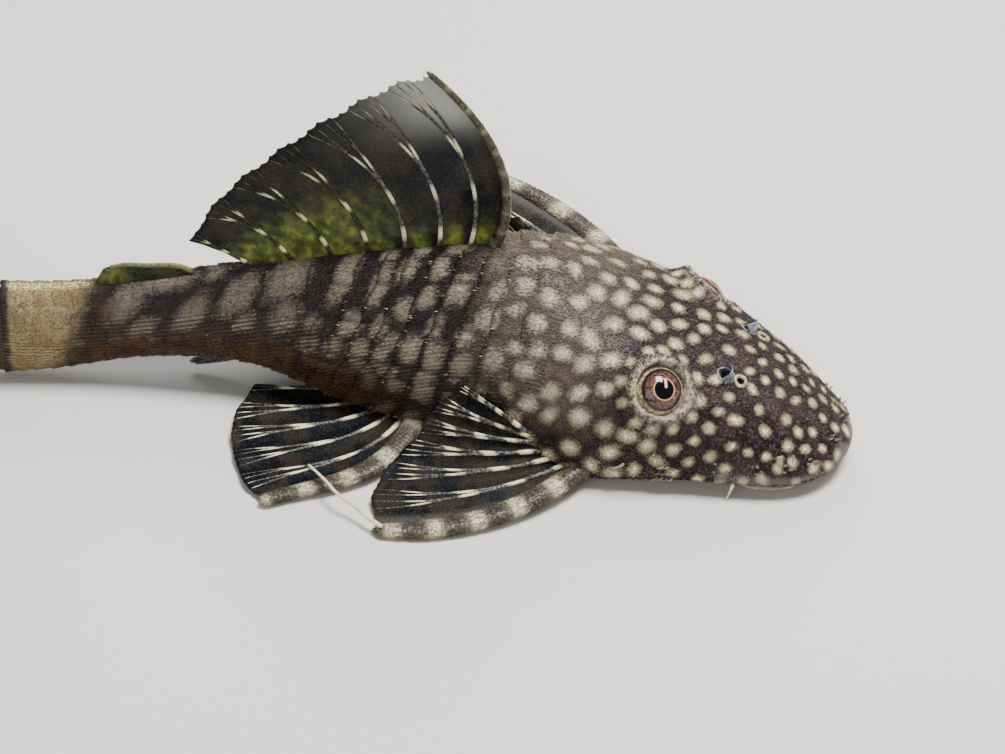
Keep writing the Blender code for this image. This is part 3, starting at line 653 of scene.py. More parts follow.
def skin_points():
    """The finished skin, with its plates, sockets and nostrils."""
    grow = head_swell(SKIN_S, SKIN_SHARE)
    grow = grow + plate_relief(PLATE_PART, SKIN_ROW, SKIN_IN_ROW, SKIN_S, SKIN_SHARE)
    grow = grow * (SKIN_S < STANDARD_LENGTH + 1)
    points = skin(SKIN_S, SKIN_SHARE, grow)
    for side in (RIGHT, LEFT):
        points = sink_socket(points, side)
        for hole, out, _, _ in nostril_holes(side):
            gap = np.linalg.norm(points - hole, axis=-1)
            depth = NOSTRIL_DEPTH * (1 - smooth_step((gap - 0.1) / NOSTRIL_WIDTH))
            points = points - depth[..., None] * out
    return points


SKIN_POINTS = skin_points()
print("the eyes look out", np.round(eye_frame(RIGHT)[1][2], 2), "and", np.round(eye_frame(LEFT)[1][2], 2))

# %% [markdown]
# Markings.
#
# Cream spots lie on dark skin: small and close on the snout and larger on the nape. Down the
# flank come blotches, each with a place of its own, and low on the flank there is one to a plate.
# A pale band crosses the tail. A picture could hold them, but here each spot is a place and a
# size. Every point of the skin keeps how deep inside its nearest spot it lies, from 1 at the
# centre through 0 at the rim, and the material roughens that rim later.

# %% Spots on the head
SPOT_LIMIT = 33.0
SPOT_SHARE = 0.61
SPOT_TRIES = 16000
ROOM_ON_SNOUT = 1.62
ROOM_GAINED = 0.62
SPOTS_ROUND_EYE = 12
EYE_SPOT_RADIUS = 3.9
EYE_SPOT_ROOM = 1.7
CLEAR_OF_EYE = 4.75
CLEAR_OF_NOSTRIL = 1.7
rng = random.Random(11)


def spot_room(s):
    """How far apart the spots lie, in millimetres."""
    return ROOM_ON_SNOUT + ROOM_GAINED * smooth_step((s - 4) / 22)


def scatter_spots():
    """Spots that keep their distance from each other, from the eyes and from the nostrils."""
    kept = []
    centres = [eye_frame(side)[0] + eye_frame(side)[1][2] * EYE_DEPTH for side in (RIGHT, LEFT)]
    for side in (RIGHT, LEFT):
        centre, (back, down, out) = eye_frame(side)
        for k in range(SPOTS_ROUND_EYE):
            turn = 2 * math.pi * (k + 0.35 * rng.random()) / SPOTS_ROUND_EYE
            spoke = math.cos(turn) * back + math.sin(turn) * down
            along = unit(math.cos(turn) * down - math.sin(turn) * back)
            kept.append((centre + out * EYE_DEPTH + EYE_SPOT_RADIUS * spoke, EYE_SPOT_ROOM, along, out))
    tries = np.array([(SPOT_LIMIT * rng.random() ** 0.75 + 0.5, rng.uniform(-SPOT_SHARE, SPOT_SHARE))
                      for _ in range(SPOT_TRIES)])
    points = skin(tries[:, 0], tries[:, 1])
    for (s, share), point in zip(tries, points):
        room = spot_room(s)
        if min(np.linalg.norm(point - c) for c in centres) < CLEAR_OF_EYE:
            continue
        nostril = np.linalg.norm(point - skin(NOSTRIL_PLACE[0], math.copysign(NOSTRIL_PLACE[1], share)))
        if nostril < CLEAR_OF_NOSTRIL:
            continue
        gaps = np.linalg.norm(np.array([k[0] for k in kept]) - point, axis=1)
        rooms = (np.array([k[1] for k in kept]) + room) / 2
        if np.any(gaps < rooms):
            continue
        _, out, back, down = skin_frame(s, share)
        turn = rng.gauss(0.2, 0.6)
        kept.append((point, room, unit(math.cos(turn) * back + math.sin(turn) * down), out))
    return kept


SPOTS = scatter_spots()
print(len(SPOTS), "spots on the head and nape")

# %% Blotches on the plates and the pale band on the tail
# For each blotch of the flank: s, share, half its length, half its height in millimetres, tone
FLANK_BLOTCHES = [(35.6, 0.16, 1.0, 1.2, 0.75), (36.3, 0.25, 1.2, 1.4, 0.8), (35.0, 0.36, 1.1, 1.2, 0.7),
                  (38.4, 0.31, 1.1, 1.2, 0.7), (39.6, 0.17, 1.3, 1.6, 0.75), (38.6, 0.41, 1.1, 1.5, 0.7),
                  (40.3, 0.02, 1.3, 0.8, 0.9), (41.9, 0.1, 0.9, 1.4, 0.7), (41.7, 0.29, 1.0, 1.2, 0.65),
                  (42.9, 0.2, 0.9, 1.2, 0.6), (44.0, 0.02, 0.9, 0.8, 1.0), (45.2, 0.1, 1.0, 1.5, 0.7),
                  (45.1, 0.24, 1.0, 1.2, 0.6), (47.1, 0.03, 0.9, 0.8, 0.9), (47.9, 0.15, 1.0, 2.2, 0.7),
                  (47.6, 0.31, 0.9, 1.2, 0.6), (51.3, 0.1, 1.2, 3.0, 0.75), (50.5, 0.31, 1.2, 1.3, 0.65),
                  (54.4, 0.32, 0.9, 1.0, 0.4), (56.9, 0.1, 2.1, 2.5, 0.75), (57.3, 0.31, 1.5, 1.6, 0.45),
                  (61.9, 0.2, 1.7, 2.3, 0.65), (61.4, 0.38, 1.1, 1.0, 0.3), (66.6, 0.31, 1.5, 1.8, 0.5),
                  (68.8, 0.04, 2.9, 1.3, 0.7), (73.2, 0.2, 2.0, 2.2, 0.6), (64.2, 0.03, 1.0, 0.8, 0.5),
                  (71.6, 0.42, 1.4, 1.2, 0.3), (36.5, 0.46, 1.0, 1.2, 0.5), (41.6, 0.4, 1.1, 1.8, 0.8),
                  (44.1, 0.38, 1.1, 1.5, 0.8), (42.5, 0.475, 1.3, 0.9, 0.5), (46.1, 0.36, 0.9, 1.0, 0.55),
                  (47.4, 0.42, 0.9, 1.0, 0.55), (49.7, 0.41, 1.1, 1.1, 0.6), (46.6, 0.475, 1.1, 0.8, 0.35),
                  (52.4, 0.42, 0.9, 1.0, 0.7), (49.4, 0.48, 1.1, 0.8, 0.25), (54.9, 0.44, 1.0, 0.9, 0.35)]
# How many millimetres a blotch leans back over a whole share
BLOTCH_LEAN = 8.0
# Where the pale band starts and ends, as s
PALE_BAND = (77.4, 84.2)
# The plates' own blotches take over a little above this share
LOW_FLANK = 0.53


def unmarked():
    """The depth and tone of skin with no spot on it."""
    return np.full(SKIN_S.shape, -1.0), np.full(SKIN_S.shape, 0.5)


def head_spots():
    """How deep each point lies in its nearest round spot, and that spot's tone."""
    depth, tone = unmarked()
    for centre, room, along, out in SPOTS:
        radius = room * rng.uniform(0.31, 0.42) + 0.16 * smooth_step((room - 1.8) / 0.4)
        stretch = rng.uniform(1.0, 1.3)
        shade = rng.uniform(0.6, 1.0)
        offset = SKIN_POINTS - centre
        near = np.abs(offset).max(axis=-1) < 3
        here = offset[near]
        across = np.cross(out, along)
        a = np.abs(here @ along) / (radius * stretch)
        b = np.abs(here @ across) / (radius / stretch**0.5)
        inside = 1 - (a**2.2 + b**2.2) ** (1 / 2.2)
        better = inside > depth[near]
        depth[near] = np.where(better, inside, depth[near])
        tone[near] = np.where(better, shade, tone[near])
    return depth, tone


def plate_blotches():
    """How deep each point lies in the blotch of its own plate, for the lower flank."""
    depth, tone = unmarked()
    draw = np.random.default_rng(23)
    left = SKIN_SHARE > 0
    for plate in range(PLATES):
        for row in range(PLATE_ROWS):
            for side in (False, True):
                long, tall = draw.uniform(0.3, 0.4), draw.uniform(0.3, 0.42)
                middle, height = draw.uniform(0.4, 0.55), draw.uniform(0.44, 0.56)
                shade = draw.uniform(0.4, 0.85)
                weak = draw.random() < 0.16
                mine = (PLATE_NUMBER == plate) & (np.floor(SKIN_ROW) == row) & (left == side)
                if weak or not mine.any():
                    continue
                a = np.abs(PLATE_PART[mine] - middle) / long
                b = np.abs(SKIN_IN_ROW[mine] - height) / tall
                depth[mine] = 1 - (a**2.4 + b**2.4) ** (1 / 2.4)
                tone[mine] = shade
    return depth, tone


def flank_blotches():
    """How deep each point lies in a blotch of FLANK_BLOTCHES. The left side's are moved a little."""
    depth, tone = unmarked()
    around = half_girth(SKIN_S)
    for s, share, long, tall, shade in FLANK_BLOTCHES:
        for side in (RIGHT, LEFT):
            move = 0 if side == RIGHT else rng.uniform(-0.7, 0.7)
            down = SKIN_SHARE * side - share
            a = np.abs(SKIN_S - s - move - BLOTCH_LEAN * down) / (long + 0.05)
            b = np.abs(down) * around / (tall + 0.1)
            inside = 1 - (a**2.3 + b**2.3) ** (1 / 2.3)
            better = inside > depth
            depth = np.where(better, inside, depth)
            tone = np.where(better, shade, tone)
    return depth, tone


def markings():
    """Every number that the skin's points carry for the material."""
    s, share = SKIN_S, np.abs(SKIN_SHARE)
    depth, tone = head_spots()
    plate_depth, plate_tone = plate_blotches()
    flank_depth, flank_tone = flank_blotches()
    upper = smooth_step((LOW_FLANK - share) / 0.06) > 0.5
    on_flank = s + 2.0 * bump(share, 0.3, 0.2) > SPOT_LIMIT + 2
    body_depth = np.where(upper, flank_depth, plate_depth)
    body_tone = np.where(upper, flank_tone, plate_tone)
    body_tone = body_tone * (1 - 0.45 * smooth_step((s - 48) / 8))
    depth = np.where(on_flank, np.maximum(body_depth, np.where(s < SPOT_LIMIT + 3, depth, -1)), depth)
    tone = np.where(on_flank & (body_depth > -0.5), body_tone, tone)
    around = half_girth(s)
    rear = smooth_step((PLATE_PART - 0.78) / 0.17) * (PLATE_NUMBER >= 1)
    rows = 1 - smooth_step(np.minimum(SKIN_IN_ROW, 1 - SKIN_IN_ROW) / 0.1)
    rows = rows * (SKIN_ROW < PLATE_ROWS) * (PLATE_NUMBER >= 1)
    edge = np.maximum(rear, 0.6 * rows) * (1 - 0.85 * smooth_step((s - 50) / 9))
    edge = edge * smooth_step((s - 33) / 5)
    band = smooth_step((s - PALE_BAND[0] + 1.6 - 4.0 * (share - 0.3)) / 4.2)
    band = band * (1 - smooth_step((s - PALE_BAND[1]) / 0.9))
    warm = smooth_step((s - 42) / 9) * smooth_step((share - 0.42) / 0.12)
    warm = warm * (1 - 0.6 * smooth_step((s - 76) / 3))
    bar = 0.7 * bump(s, 75.6 + 4.5 * (share - 0.3), 1.3) * smooth_step((share - 0.1) / 0.15)
    warm = np.maximum(warm, bar)
    belly_from = 0.62 + 0.1 * smooth_step((s - 26) / 6) - 0.04 * smooth_step((6 - s) / 6)
    belly = smooth_step((share - belly_from) / 0.06) * (1 - smooth_step((s - 50) / 8))
    bare = (1 - smooth_step((s - 0.4) / 0.8)) * smooth_step((share - 0.1) / 0.1)
    rim = bump(share, 0.51 + 0.05 * smooth_step(s / 9), 0.03) * (1 - smooth_step((s - 9) / 4))
    comb = smooth_step((s - 33) / 6) * (0.12 + 0.88 * smooth_step((share - 0.27) / 0.12))
    ashy = smooth_step((s - 20) / 6) * (1 - smooth_step((s - 35) / 5)) * smooth_step((0.52 - share) / 0.1)
    lid = np.zeros_like(s)
    # How near each point lies to a nostril opening; the material paints these openings near black, as
    # painted shade inside the holes.
    pit = np.zeros_like(s)
    for side in (RIGHT, LEFT):
        local, far = round_eye(SKIN_POINTS, side)
        lid = np.maximum(lid, bump(far, 2.8, 0.55) * (local[..., 2] > 0))
        for hole, wide in zip(nostril_holes(side), (0.25, 0.5)):
            gap = np.linalg.norm(SKIN_POINTS - hole[0], axis=-1)
            pit = np.maximum(pit, 1 - smooth_step((gap - wide) / 0.3))
    return {"spot": depth, "tone": tone, "edge": edge, "across": share * around, "band": band,
            "warm": warm, "belly": belly, "bare": np.maximum(bare, rim), "comb": comb,
            "lid": lid, "pit": pit, "behind": smooth_step((s - 29) / 7), "ashy": ashy}


SKIN_NUMBERS = markings()
print("markings:", ", ".join(SKIN_NUMBERS))

# %% [markdown]
# The skin's material.
#
# Live catfish skin is a thin, damp, dark hide over bone: brown-purple with a wet sheen, grainy
# with tiny teeth. The colours are mixed by the numbers on the points, and noise at the size of
# the real grain breaks every rim. Rows of teeth on the lower plates show as fine pale combs
# about 0.42 mm apart.

# %% Armoured skin
COMB_STEP = 0.42


def wet_plated_skin():
    material, tree, shader = new_material("wet_plated_skin", IOR=1.4, Specular_IOR_Level=0.2,
                                          Coat_Weight=0.05, Coat_Roughness=0.15)
    fine = grain(tree, 0.3)
    broad = grain(tree, 2.2, detail=4.0)
    speckle = grain(tree, 0.15, detail=2.0)
    ground = mottled(tree, broad, 0.38, 0.62, "#1e111a", "#4b3537")
    # Fine pale speckle over the ground: partly the pale tips of the skin's teeth, partly painted glints.
    ground = layered(tree, ground, fine, 0.48, 0.7, "#786860", 0.6)
    ground = tinted(tree, ground, "behind", 0.8, "#120b0a")
    ground = tinted(tree, ground, "comb", 0.4, "#44301f")
    ground = tinted(tree, ground, "ashy", 0.75, "#65564f")
    cloud = maths(tree, "MULTIPLY", maths(tree, "SUBTRACT", grain(tree, 1.0, detail=1.0), 0.5), 0.6)
    ragged = maths(tree, "MULTIPLY", maths(tree, "SUBTRACT", fine, 0.5), 0.6)
    depth = maths(tree, "ADD", maths(tree, "ADD", read(tree, "spot"), ragged), cloud)
    inside = ranged(tree, depth, -0.3, 0.4, 0, 0.72)
    core = ranged(tree, depth, 0.15, 0.85)
    # Painted shade: a dark ring round every spot, darkening the ground where it meets the spot's rim.
    spot_shade_ring = ranged(tree, depth, -0.9, -0.15)
    ground = mixed(tree, maths(tree, "MULTIPLY", spot_shade_ring, 0.55), ground, paint("#140e14"))
    bright = mixed(tree, read(tree, "tone"), paint("#6f6049"), paint("#b8a980"))
    bright = mixed(tree, maths(tree, "MULTIPLY", core, read(tree, "tone")), bright, paint("#fff9df"))
    grey = mixed(tree, read(tree, "tone"), paint("#382e28"), paint("#9c9184"))
    cool = mixed(tree, read(tree, "behind"), bright, grey)
    ashen = tinted(tree, cool, "ashy", 0.5, "#aea59b")
    dotted = layered(tree, ashen, speckle, 0.52, 0.68, "#43332e", 0.5)
    colour = mixed(tree, maths(tree, "MAXIMUM", inside, core), ground, dotted)
    wave = ripple(tree, "across", COMB_STEP)
    lines = maths(tree, "ADD", wave, maths(tree, "MULTIPLY", fine, 0.8))
    combed = maths(tree, "MULTIPLY", read(tree, "comb"), maths(tree, "ADD", inside, 0.15))
    teeth = maths(tree, "MULTIPLY", ranged(tree, lines, 0.2, 1.3, 0, 0.5), combed)
    furrow = maths(tree, "MULTIPLY", ranged(tree, lines, 0.1, -0.9, 0, 0.75), combed)
    colour = mixed(tree, teeth, colour, paint("#b9ab93"))
    colour = mixed(tree, furrow, colour, paint("#1d1410"))
    colour = tinted(tree, colour, "edge", 0.85, "#0f0a0a")
    amber = mottled(tree, broad, 0.4, 0.6, "#140b00", "#46300a")
    colour = mixed(tree, maths(tree, "MULTIPLY", read(tree, "warm"), 0.9), colour, amber)
    sandy = mottled(tree, speckle, 0.52, 0.64, "#a8946a", "#54391f")
    sandy = layered(tree, sandy, broad, 0.42, 0.6, "#7c5a30", 0.7)
    # Painted highlight: pale yellow laid over the band wherever 'across' is under about 0.3 mm, standing in
    # for light caught along the tail's top edge.
    painted_band_highlight = ranged(tree, read(tree, "across"), 0.75, 0.3)
    sandy = mixed(tree, maths(tree, "MULTIPLY", painted_band_highlight, 0.8), sandy, paint("#ead994"))
    ragged_band = maths(tree, "ADD", read(tree, "band"), maths(tree, "ADD", ragged, cloud))
    colour = mixed(tree, ranged(tree, ragged_band, 0.15, 0.95, 0, 0.95), colour, sandy)
    pale = mottled(tree, broad, 0.35, 0.65, "#a8967f", "#786759")
    colour = mixed(tree, read(tree, "belly"), colour, pale)
    colour = tinted(tree, colour, "bare", 0.5, "#7a7471")
    rim = mottled(tree, grain(tree, 0.6), 0.4, 0.6, "#8d7a74", "#d3cba8")
    colour = mixed(tree, maths(tree, "MULTIPLY", read(tree, "lid"), 0.72), colour, rim)
    # Painted shade: the nostril openings, which are only shallow dips in the skin, are painted near black.
    colour = mixed(tree, read(tree, "pit"), colour, paint("#0c0e14"))
    tree.links.new(ranged(tree, fine, 0.3, 0.7, 0.3, 0.55), shader.inputs["Roughness"])
    height = maths(tree, "ADD", maths(tree, "MULTIPLY", speckle, 0.6), fine)
    ridge = maths(tree, "MULTIPLY", maths(tree, "MULTIPLY", wave, read(tree, "comb")), 0.3)
    coat(tree, shader, colour, maths(tree, "ADD", height, ridge), 0.8, 0.08)
    return material


SKIN = wet_plated_skin()


# How far past the last plate each ring of the tail's end lies, and its share of the full thickness
TAIL_WEDGE = [(0.4, 0.86), (0.9, 0.68), (1.5, 0.5), (2.2, 0.33), (3.0, 0.2)]


def bake_map(mesh, corners):
    """A map named OFBake, made from each corner's place."""
    layer = mesh.uv_layers.new(name="OFBake")
    layer.data.foreach_set("uv", np.asarray(corners, np.float32).ravel())


def skin_map(mesh, rings, around):
    """Spreads the skin's rings and columns evenly over the map."""
    corners = []
    for face in mesh.polygons:
        members = [v for v in face.vertices if v < rings * around]
        columns = [v % around for v in members]
        wraps = max(columns) - min(columns) > around / 2
        for v in face.vertices:
            if v >= rings * around:
                across = 1.0 if wraps else min(columns) / around
                corners.append((across, 0.0 if v == rings * around else 1.0))
                continue
            column = v % around + (around if wraps and v % around < around / 2 else 0)
            corners.append((column / around, MAP_START + MAP_SPAN * (v // around) / (rings - 1)))
    bake_map(mesh, corners)


def tail_wedge():
    """Rings past the last plate, where the skin thins out over the roots of the tail fin's rays."""
    last = SKIN_POINTS[-1]
    middle = last.mean(axis=0)
    back = unit(place(STANDARD_LENGTH, 0, 5) - place(STANDARD_LENGTH - 1, 0, 5))
    across = np.cross(back, (0, 0, 1))
    thick = ((last - middle) @ across)[:, None] * across
    return np.array([last + past * back - (1 - share) * thick for past, share in TAIL_WEDGE])


def make_skin():
    whole = np.concatenate([SKIN_POINTS, tail_wedge()])
    points, faces = closed_rings(whole)
    points[-2] = place(0.0, 0, float(BACK_HEIGHT[0][1]))
    numbers = {key: np.append(np.vstack([values, *[values[-1:]] * len(TAIL_WEDGE)]).ravel(),
                              [values[0, 0], values[-1, 0]]) for key, values in SKIN_NUMBERS.items()}
    piece = make_piece("skin", points, faces, SKIN, numbers)
    skin_map(piece.data, len(whole), whole.shape[1])
    return keep(piece, "plated_skin", "head", "trunk", "tail")


make_skin()

# %% [markdown]
# Skin teeth.
#
# Armoured catfish are covered with odontodes: tiny teeth that grow on the skin, each with a pale
# glassy tip. They make the hide look bristly and give the plates their combs. One four-sided
# tooth is set on thousands of roots by Geometry Nodes, leaning to the rear, and the roots carry
# the skin's markings, so that a tooth on a spot is pale and a tooth between spots is dark.

# %% A tooth and the nodes that set it on its roots
HEAD_TEETH = 44000
TRUNK_TEETH = 43000
TAIL_TEETH = 26000
TOOTH_GIRTH = 0.2
# A tooth lies flat where its tip would come lower than this, if it were longer by the margin
TEETH_LOWEST = 0.05
TIP_MARGIN = 1.3
# The width of one tooth's own patch of the map
PATCH = 0.003


def enamel_teeth():
    material, tree, shader = new_material("enamel_teeth", IOR=1.5, Specular_IOR_Level=0.3, Roughness=0.35)
    colour = mixed(tree, read(tree, "pale"), paint("#160f12"), paint("#dfd0a4"))
    colour = mixed(tree, read(tree, "warm"), colour, paint("#4a2006"))
    glassy = maths(tree, "MULTIPLY", ranged(tree, read(tree, "tip"), 0.3, 1.0), 0.28)
    colour = mixed(tree, glassy, colour, paint("#a89b8a"))
    coat(tree, shader, colour)
    return material


TEETH = enamel_teeth()


def make_tooth():
    """One tooth of unit size, standing up, with its root a little below the skin."""
    mesh = bpy.data.meshes.new("tooth")
    turns = [2 * math.pi * k / 3 for k in range(3)]
    foot = [(math.cos(turn), math.sin(turn), -0.15) for turn in turns]
    mesh.from_pydata([*foot, (0, 0, 1)], [], [(0, 1, 3), (1, 2, 3), (2, 0, 3), (2, 1, 0)])
    mesh.attributes.new("tip", "FLOAT", "POINT").data.foreach_set("value", [0, 0, 0, 1.0])
    return bpy.data.objects.new("tooth", mesh)


TOOTH = make_tooth()


def teeth_nodes():
    """Geometry nodes that stand a tooth on each root, along its lean and at its size."""
    tree = bpy.data.node_groups.new("skin_teeth", "GeometryNodeTree")
    face = tree.interface
    given = {"Roots": "Geometry", "Tooth": "Object", "Girth": "Float", "Enamel": "Material"}
    for name, kind in given.items():
        face.new_socket(name, in_out="INPUT", socket_type="NodeSocket" + kind)
    face.new_socket("Teeth", in_out="OUTPUT", socket_type="NodeSocketGeometry")
    group = add(tree, "NodeGroupInput").outputs
    tooth = add(tree, "GeometryNodeObjectInfo", {"Object": group["Tooth"]}).outputs["Geometry"]
    lean = add(tree, "GeometryNodeInputNamedAttribute", {"Name": "lean"}, data_type="FLOAT_VECTOR")
    size = add(tree, "GeometryNodeInputNamedAttribute", {"Name": "size"}, data_type="FLOAT")
    upright = add(tree, "FunctionNodeAlignRotationToVector", {"Vector": lean.outputs["Attribute"]},
                  axis="Z")
    thick = maths(tree, "MULTIPLY", size.outputs["Attribute"], group["Girth"])
    scale = add(tree, "ShaderNodeCombineXYZ", {"X": thick, "Y": thick, "Z": size.outputs["Attribute"]})
    stand = add(tree, "GeometryNodeInstanceOnPoints", {"Points": group["Roots"], "Instance": tooth,
                "Rotation": upright.outputs["Rotation"], "Scale": scale.outputs[0]})
    real = add(tree, "GeometryNodeRealizeInstances", {"Geometry": stand.outputs["Instances"]})
    coated = add(tree, "GeometryNodeSetMaterial", {"Geometry": real.outputs["Geometry"],
                 "Material": group["Enamel"]})
    result = add(tree, "NodeGroupOutput")
    tree.links.new(coated.outputs["Geometry"], result.inputs["Teeth"])
    return tree


TEETH_NODES = teeth_nodes()


def grow_teeth(name, roots, leans, sizes, numbers, root_map):
    """A piece with one tooth for each root. Roots and sizes are in millimetres.

    Teeth that would reach under the floor lie flat instead.
    """
    leans = unit(np.array(leans))
    tips = roots[:, 2] + TIP_MARGIN * leans[:, 2] * sizes
    leans[:, 2] = np.where(tips < TEETH_LOWEST, np.maximum(leans[:, 2], 0), leans[:, 2])
    seeds = make_piece(name, roots, [], None, numbers, smooth=False)
    mesh = seeds.data
    mesh.attributes.new("lean", "FLOAT_VECTOR", "POINT").data.foreach_set("vector", np.ravel(leans))
    mesh.attributes.new("size", "FLOAT", "POINT").data.foreach_set("value", np.asarray(sizes) * MM)
    change = seeds.modifiers.new("skin_teeth", "NODES")
    change.node_group = TEETH_NODES
    values = {"Tooth": TOOTH, "Girth": TOOTH_GIRTH, "Enamel": TEETH}
    for item in TEETH_NODES.interface.items_tree:
        if item.in_out == "INPUT" and item.name in values:
            change[item.identifier] = values[item.name]
    seen = seeds.evaluated_get(bpy.context.evaluated_depsgraph_get())
    grown = bpy.data.meshes.new_from_object(seen)
    seeds.modifiers.remove(change)
    seeds.data = grown
    grown.materials.clear()
    grown.materials.append(TEETH)
    grown.polygons.foreach_set("material_index", np.zeros(len(grown.polygons), np.int32))
    grown.shade_smooth()
    layout = [(0, 0), (1, 0), (0.5, 0.4), (1, 0), (0.5, 1), (0.5, 0.4),
              (0.5, 1), (0, 0), (0.5, 0.4), (0, 0.65), (0, 1), (0.3, 1)]
    bake_map(grown, np.asarray(root_map)[:, None, :] + PATCH * np.array(layout)[None])
    return keep(seeds, "plated_skin")


# %% Roots all over the head and the plates
# Where the teeth of a plate's rear edge stand, counted in rings from its front
EDGE_RING = 6.6
draw = np.random.default_rng(7)


def grid_value(grid, i, j):
    """Values between the skin's grid points: i counts rings and j columns."""
    low_i = np.clip(i.astype(int), 0, grid.shape[0] - 2)
    low_j = np.floor(j).astype(int)
    p, q = i - low_i, j - low_j
    if grid.ndim == 3:
        p, q = p[:, None], q[:, None]
    a, b = low_j % grid.shape[1], (low_j + 1) % grid.shape[1]
    low = grid[low_i, a] * (1 - q) + grid[low_i, b] * q
    high = grid[low_i + 1, a] * (1 - q) + grid[low_i + 1, b] * q
    return low * (1 - p) + high * p


def cell_frames():
    """The area of each cell of the skin's grid, with its outward and backward directions."""
    after = np.roll(SKIN_POINTS, -1, axis=1)
    back = (SKIN_POINTS[1:] + after[1:] - SKIN_POINTS[:-1] - after[:-1]) / 2
    side = (after[:-1] + after[1:] - SKIN_POINTS[:-1] - SKIN_POINTS[1:]) / 2
    out = np.cross(side, back)
    middle = SKIN_POINTS.mean(axis=1, keepdims=True)[:-1]
    if ((SKIN_POINTS[:-1] - middle) * out).sum() < 0:
        out = -out
    return np.linalg.norm(out, axis=-1), unit(out), unit(back)


CELL_AREA, CELL_OUT, CELL_BACK = cell_frames()


def tooth_density():
    """How thickly teeth grow on each cell, with bare eyes, nostrils, belly and snout rim."""
    low = {key: values[:-1] for key, values in SKIN_NUMBERS.items()}
    density = 1 - 0.97 * low["belly"] - 0.85 * low["bare"]
    density = density * (1 - smooth_step(low["pit"] * 3)) * (1 - 0.6 * low["lid"])
    for side in (RIGHT, LEFT):
        local, far = round_eye(SKIN_POINTS[:-1], side)
        density = density * ((far > EYE_RADIUS) | (local[..., 2] < 0))
    return np.maximum(density, 0) * CELL_AREA


def cell_at(i, j):
    """The cell of the skin's grid that each root stands in."""
    return np.clip(i.astype(int), 0, len(CELL_OUT) - 1), np.floor(j).astype(int) % SKIN_S.shape[1]


def marked(key, i, j):
    """One of the skin's numbers at each root."""
    return grid_value(SKIN_NUMBERS[key], i, j)


def map_places(i, j):
    """Where each root lies on the skin's map."""
    rings, around = SKIN_S.shape
    return np.stack([(j / around) % 1, MAP_START + MAP_SPAN * i / (rings - 1)], -1)


def comb_shift(i, j):
    """Moves roots on the plates onto even lines along the body."""
    share = np.abs(grid_value(np.abs(SKIN_SHARE), i, j))
    girth = half_girth(grid_value(SKIN_S, i, j))
    plated = plated_share(grid_value(RINGS[:, :1] + 0 * SKIN_S, i, j))
    column = plated / PLATE_ROWS / COLUMNS_IN_ROW * girth
    across = share * girth
    moved = (np.round(across / COMB_STEP) * COMB_STEP - across) / column
    return np.where(j < SKIN_S.shape[1] / 2, moved, -moved) * (share < plated - 0.02)


def scatter_teeth(name, count, first, last, rise, length, combed):
    """Teeth on the rings from first to last, at random or in comb lines."""
    weight = tooth_density()[first:last]
    chosen = draw.choice(weight.size, count, p=(weight / weight.sum()).ravel())
    i = first + chosen // weight.shape[1] + draw.random(count)
    j = chosen % weight.shape[1] + draw.random(count)
    if combed:
        low = smooth_step((np.abs(grid_value(np.abs(SKIN_SHARE), i, j)) - 0.24) / 0.14)
        j = j + comb_shift(i, j) * (draw.random(count) < 0.2 + 0.4 * low)
    cell = cell_at(i, j)
    roots = grid_value(SKIN_POINTS, i, j)
    out, back = CELL_OUT[cell], CELL_BACK[cell]
    angle = np.radians(rise + draw.normal(0, 9, count))[:, None]
    leans = unit(out * np.sin(angle) + back * np.cos(angle) + draw.normal(0, 0.16, (count, 3)))
    sizes = draw.uniform(*length, count) * (1 + 0.5 * (draw.random(count) < 0.06))
    pale = smooth_step((marked("spot", i, j) + 0.05) / 0.6) * (0.3 + 0.7 * marked("tone", i, j))
    pale = pale * (1 - 0.55 * marked("behind", i, j))
    pale = np.maximum(pale, 0.2 * marked("ashy", i, j))
    pale = np.maximum(pale, 0.45 * marked("band", i, j))
    pale = pale * (1 - 0.5 * marked("edge", i, j)) * draw.uniform(0.6, 1, count)
    numbers = {"pale": pale, "warm": 0.85 * marked("warm", i, j)}
    return grow_teeth(name, roots, leans, sizes, numbers, map_places(i, j))


def edge_teeth(name, first_plate, last_plate, spacing, length):
    """A row of longer glinting teeth along the rear edge of each plate."""
    i, j = [], []
    around = SKIN_S.shape[1]
    lateral = COLUMNS_IN_ROW * PLATE_ROWS
    for plate in range(first_plate, last_plate):
        ring = HEAD_RINGS + plate * len(PLATE_FRACTIONS) + EDGE_RING
        girth = float(half_girth(plate_edge(plate + 1)))
        for side_start in (0, 1):
            column = draw.uniform(5, 7)
            while column < lateral - 8:
                grouped = math.sin(1.1 * column + 2.3 * plate + 1.7 * side_start) > draw.uniform(-0.6, 0.9)
                if grouped:
                    i.append(ring + draw.uniform(-0.9, 0.35))
                    j.append(column if side_start == 0 else around - column)
                column += spacing / girth * lateral / PLATED_ON_TRUNK * draw.uniform(0.4, 1.2)
    i, j = np.array(i), np.array(j) % around
    cell = cell_at(i, j)
    count = len(i)
    leans = unit(CELL_OUT[cell] * 0.5 + CELL_BACK[cell] + draw.normal(0, 0.14, (count, 3)))
    sizes = draw.uniform(*length, count) * (1 - 0.4 * smooth_step((grid_value(SKIN_S, i, j) - 50) / 12))
    pale = draw.uniform(0.1, 0.9, count) * (draw.random(count) < 0.5)
    numbers = {"pale": pale, "warm": 0.75 * marked("warm", i, j)}
    return grow_teeth(name, grid_value(SKIN_POINTS, i, j), leans, sizes, numbers, map_places(i, j))


TAIL_RING = HEAD_RINGS + TRUNK_PLATES * len(PLATE_FRACTIONS)
scatter_teeth("teeth_on_head", HEAD_TEETH, 14, HEAD_RINGS, 48, (0.17, 0.27), False)
scatter_teeth("teeth_on_trunk", TRUNK_TEETH, HEAD_RINGS, TAIL_RING, 25, (0.22, 0.36), True)
scatter_teeth("teeth_on_tail", TAIL_TEETH, TAIL_RING, len(RINGS) - 2, 16, (0.17, 0.28), True)
edge_teeth("teeth_on_plate_edges", 1, PLATES - 3, 0.3, (0.26, 0.44))
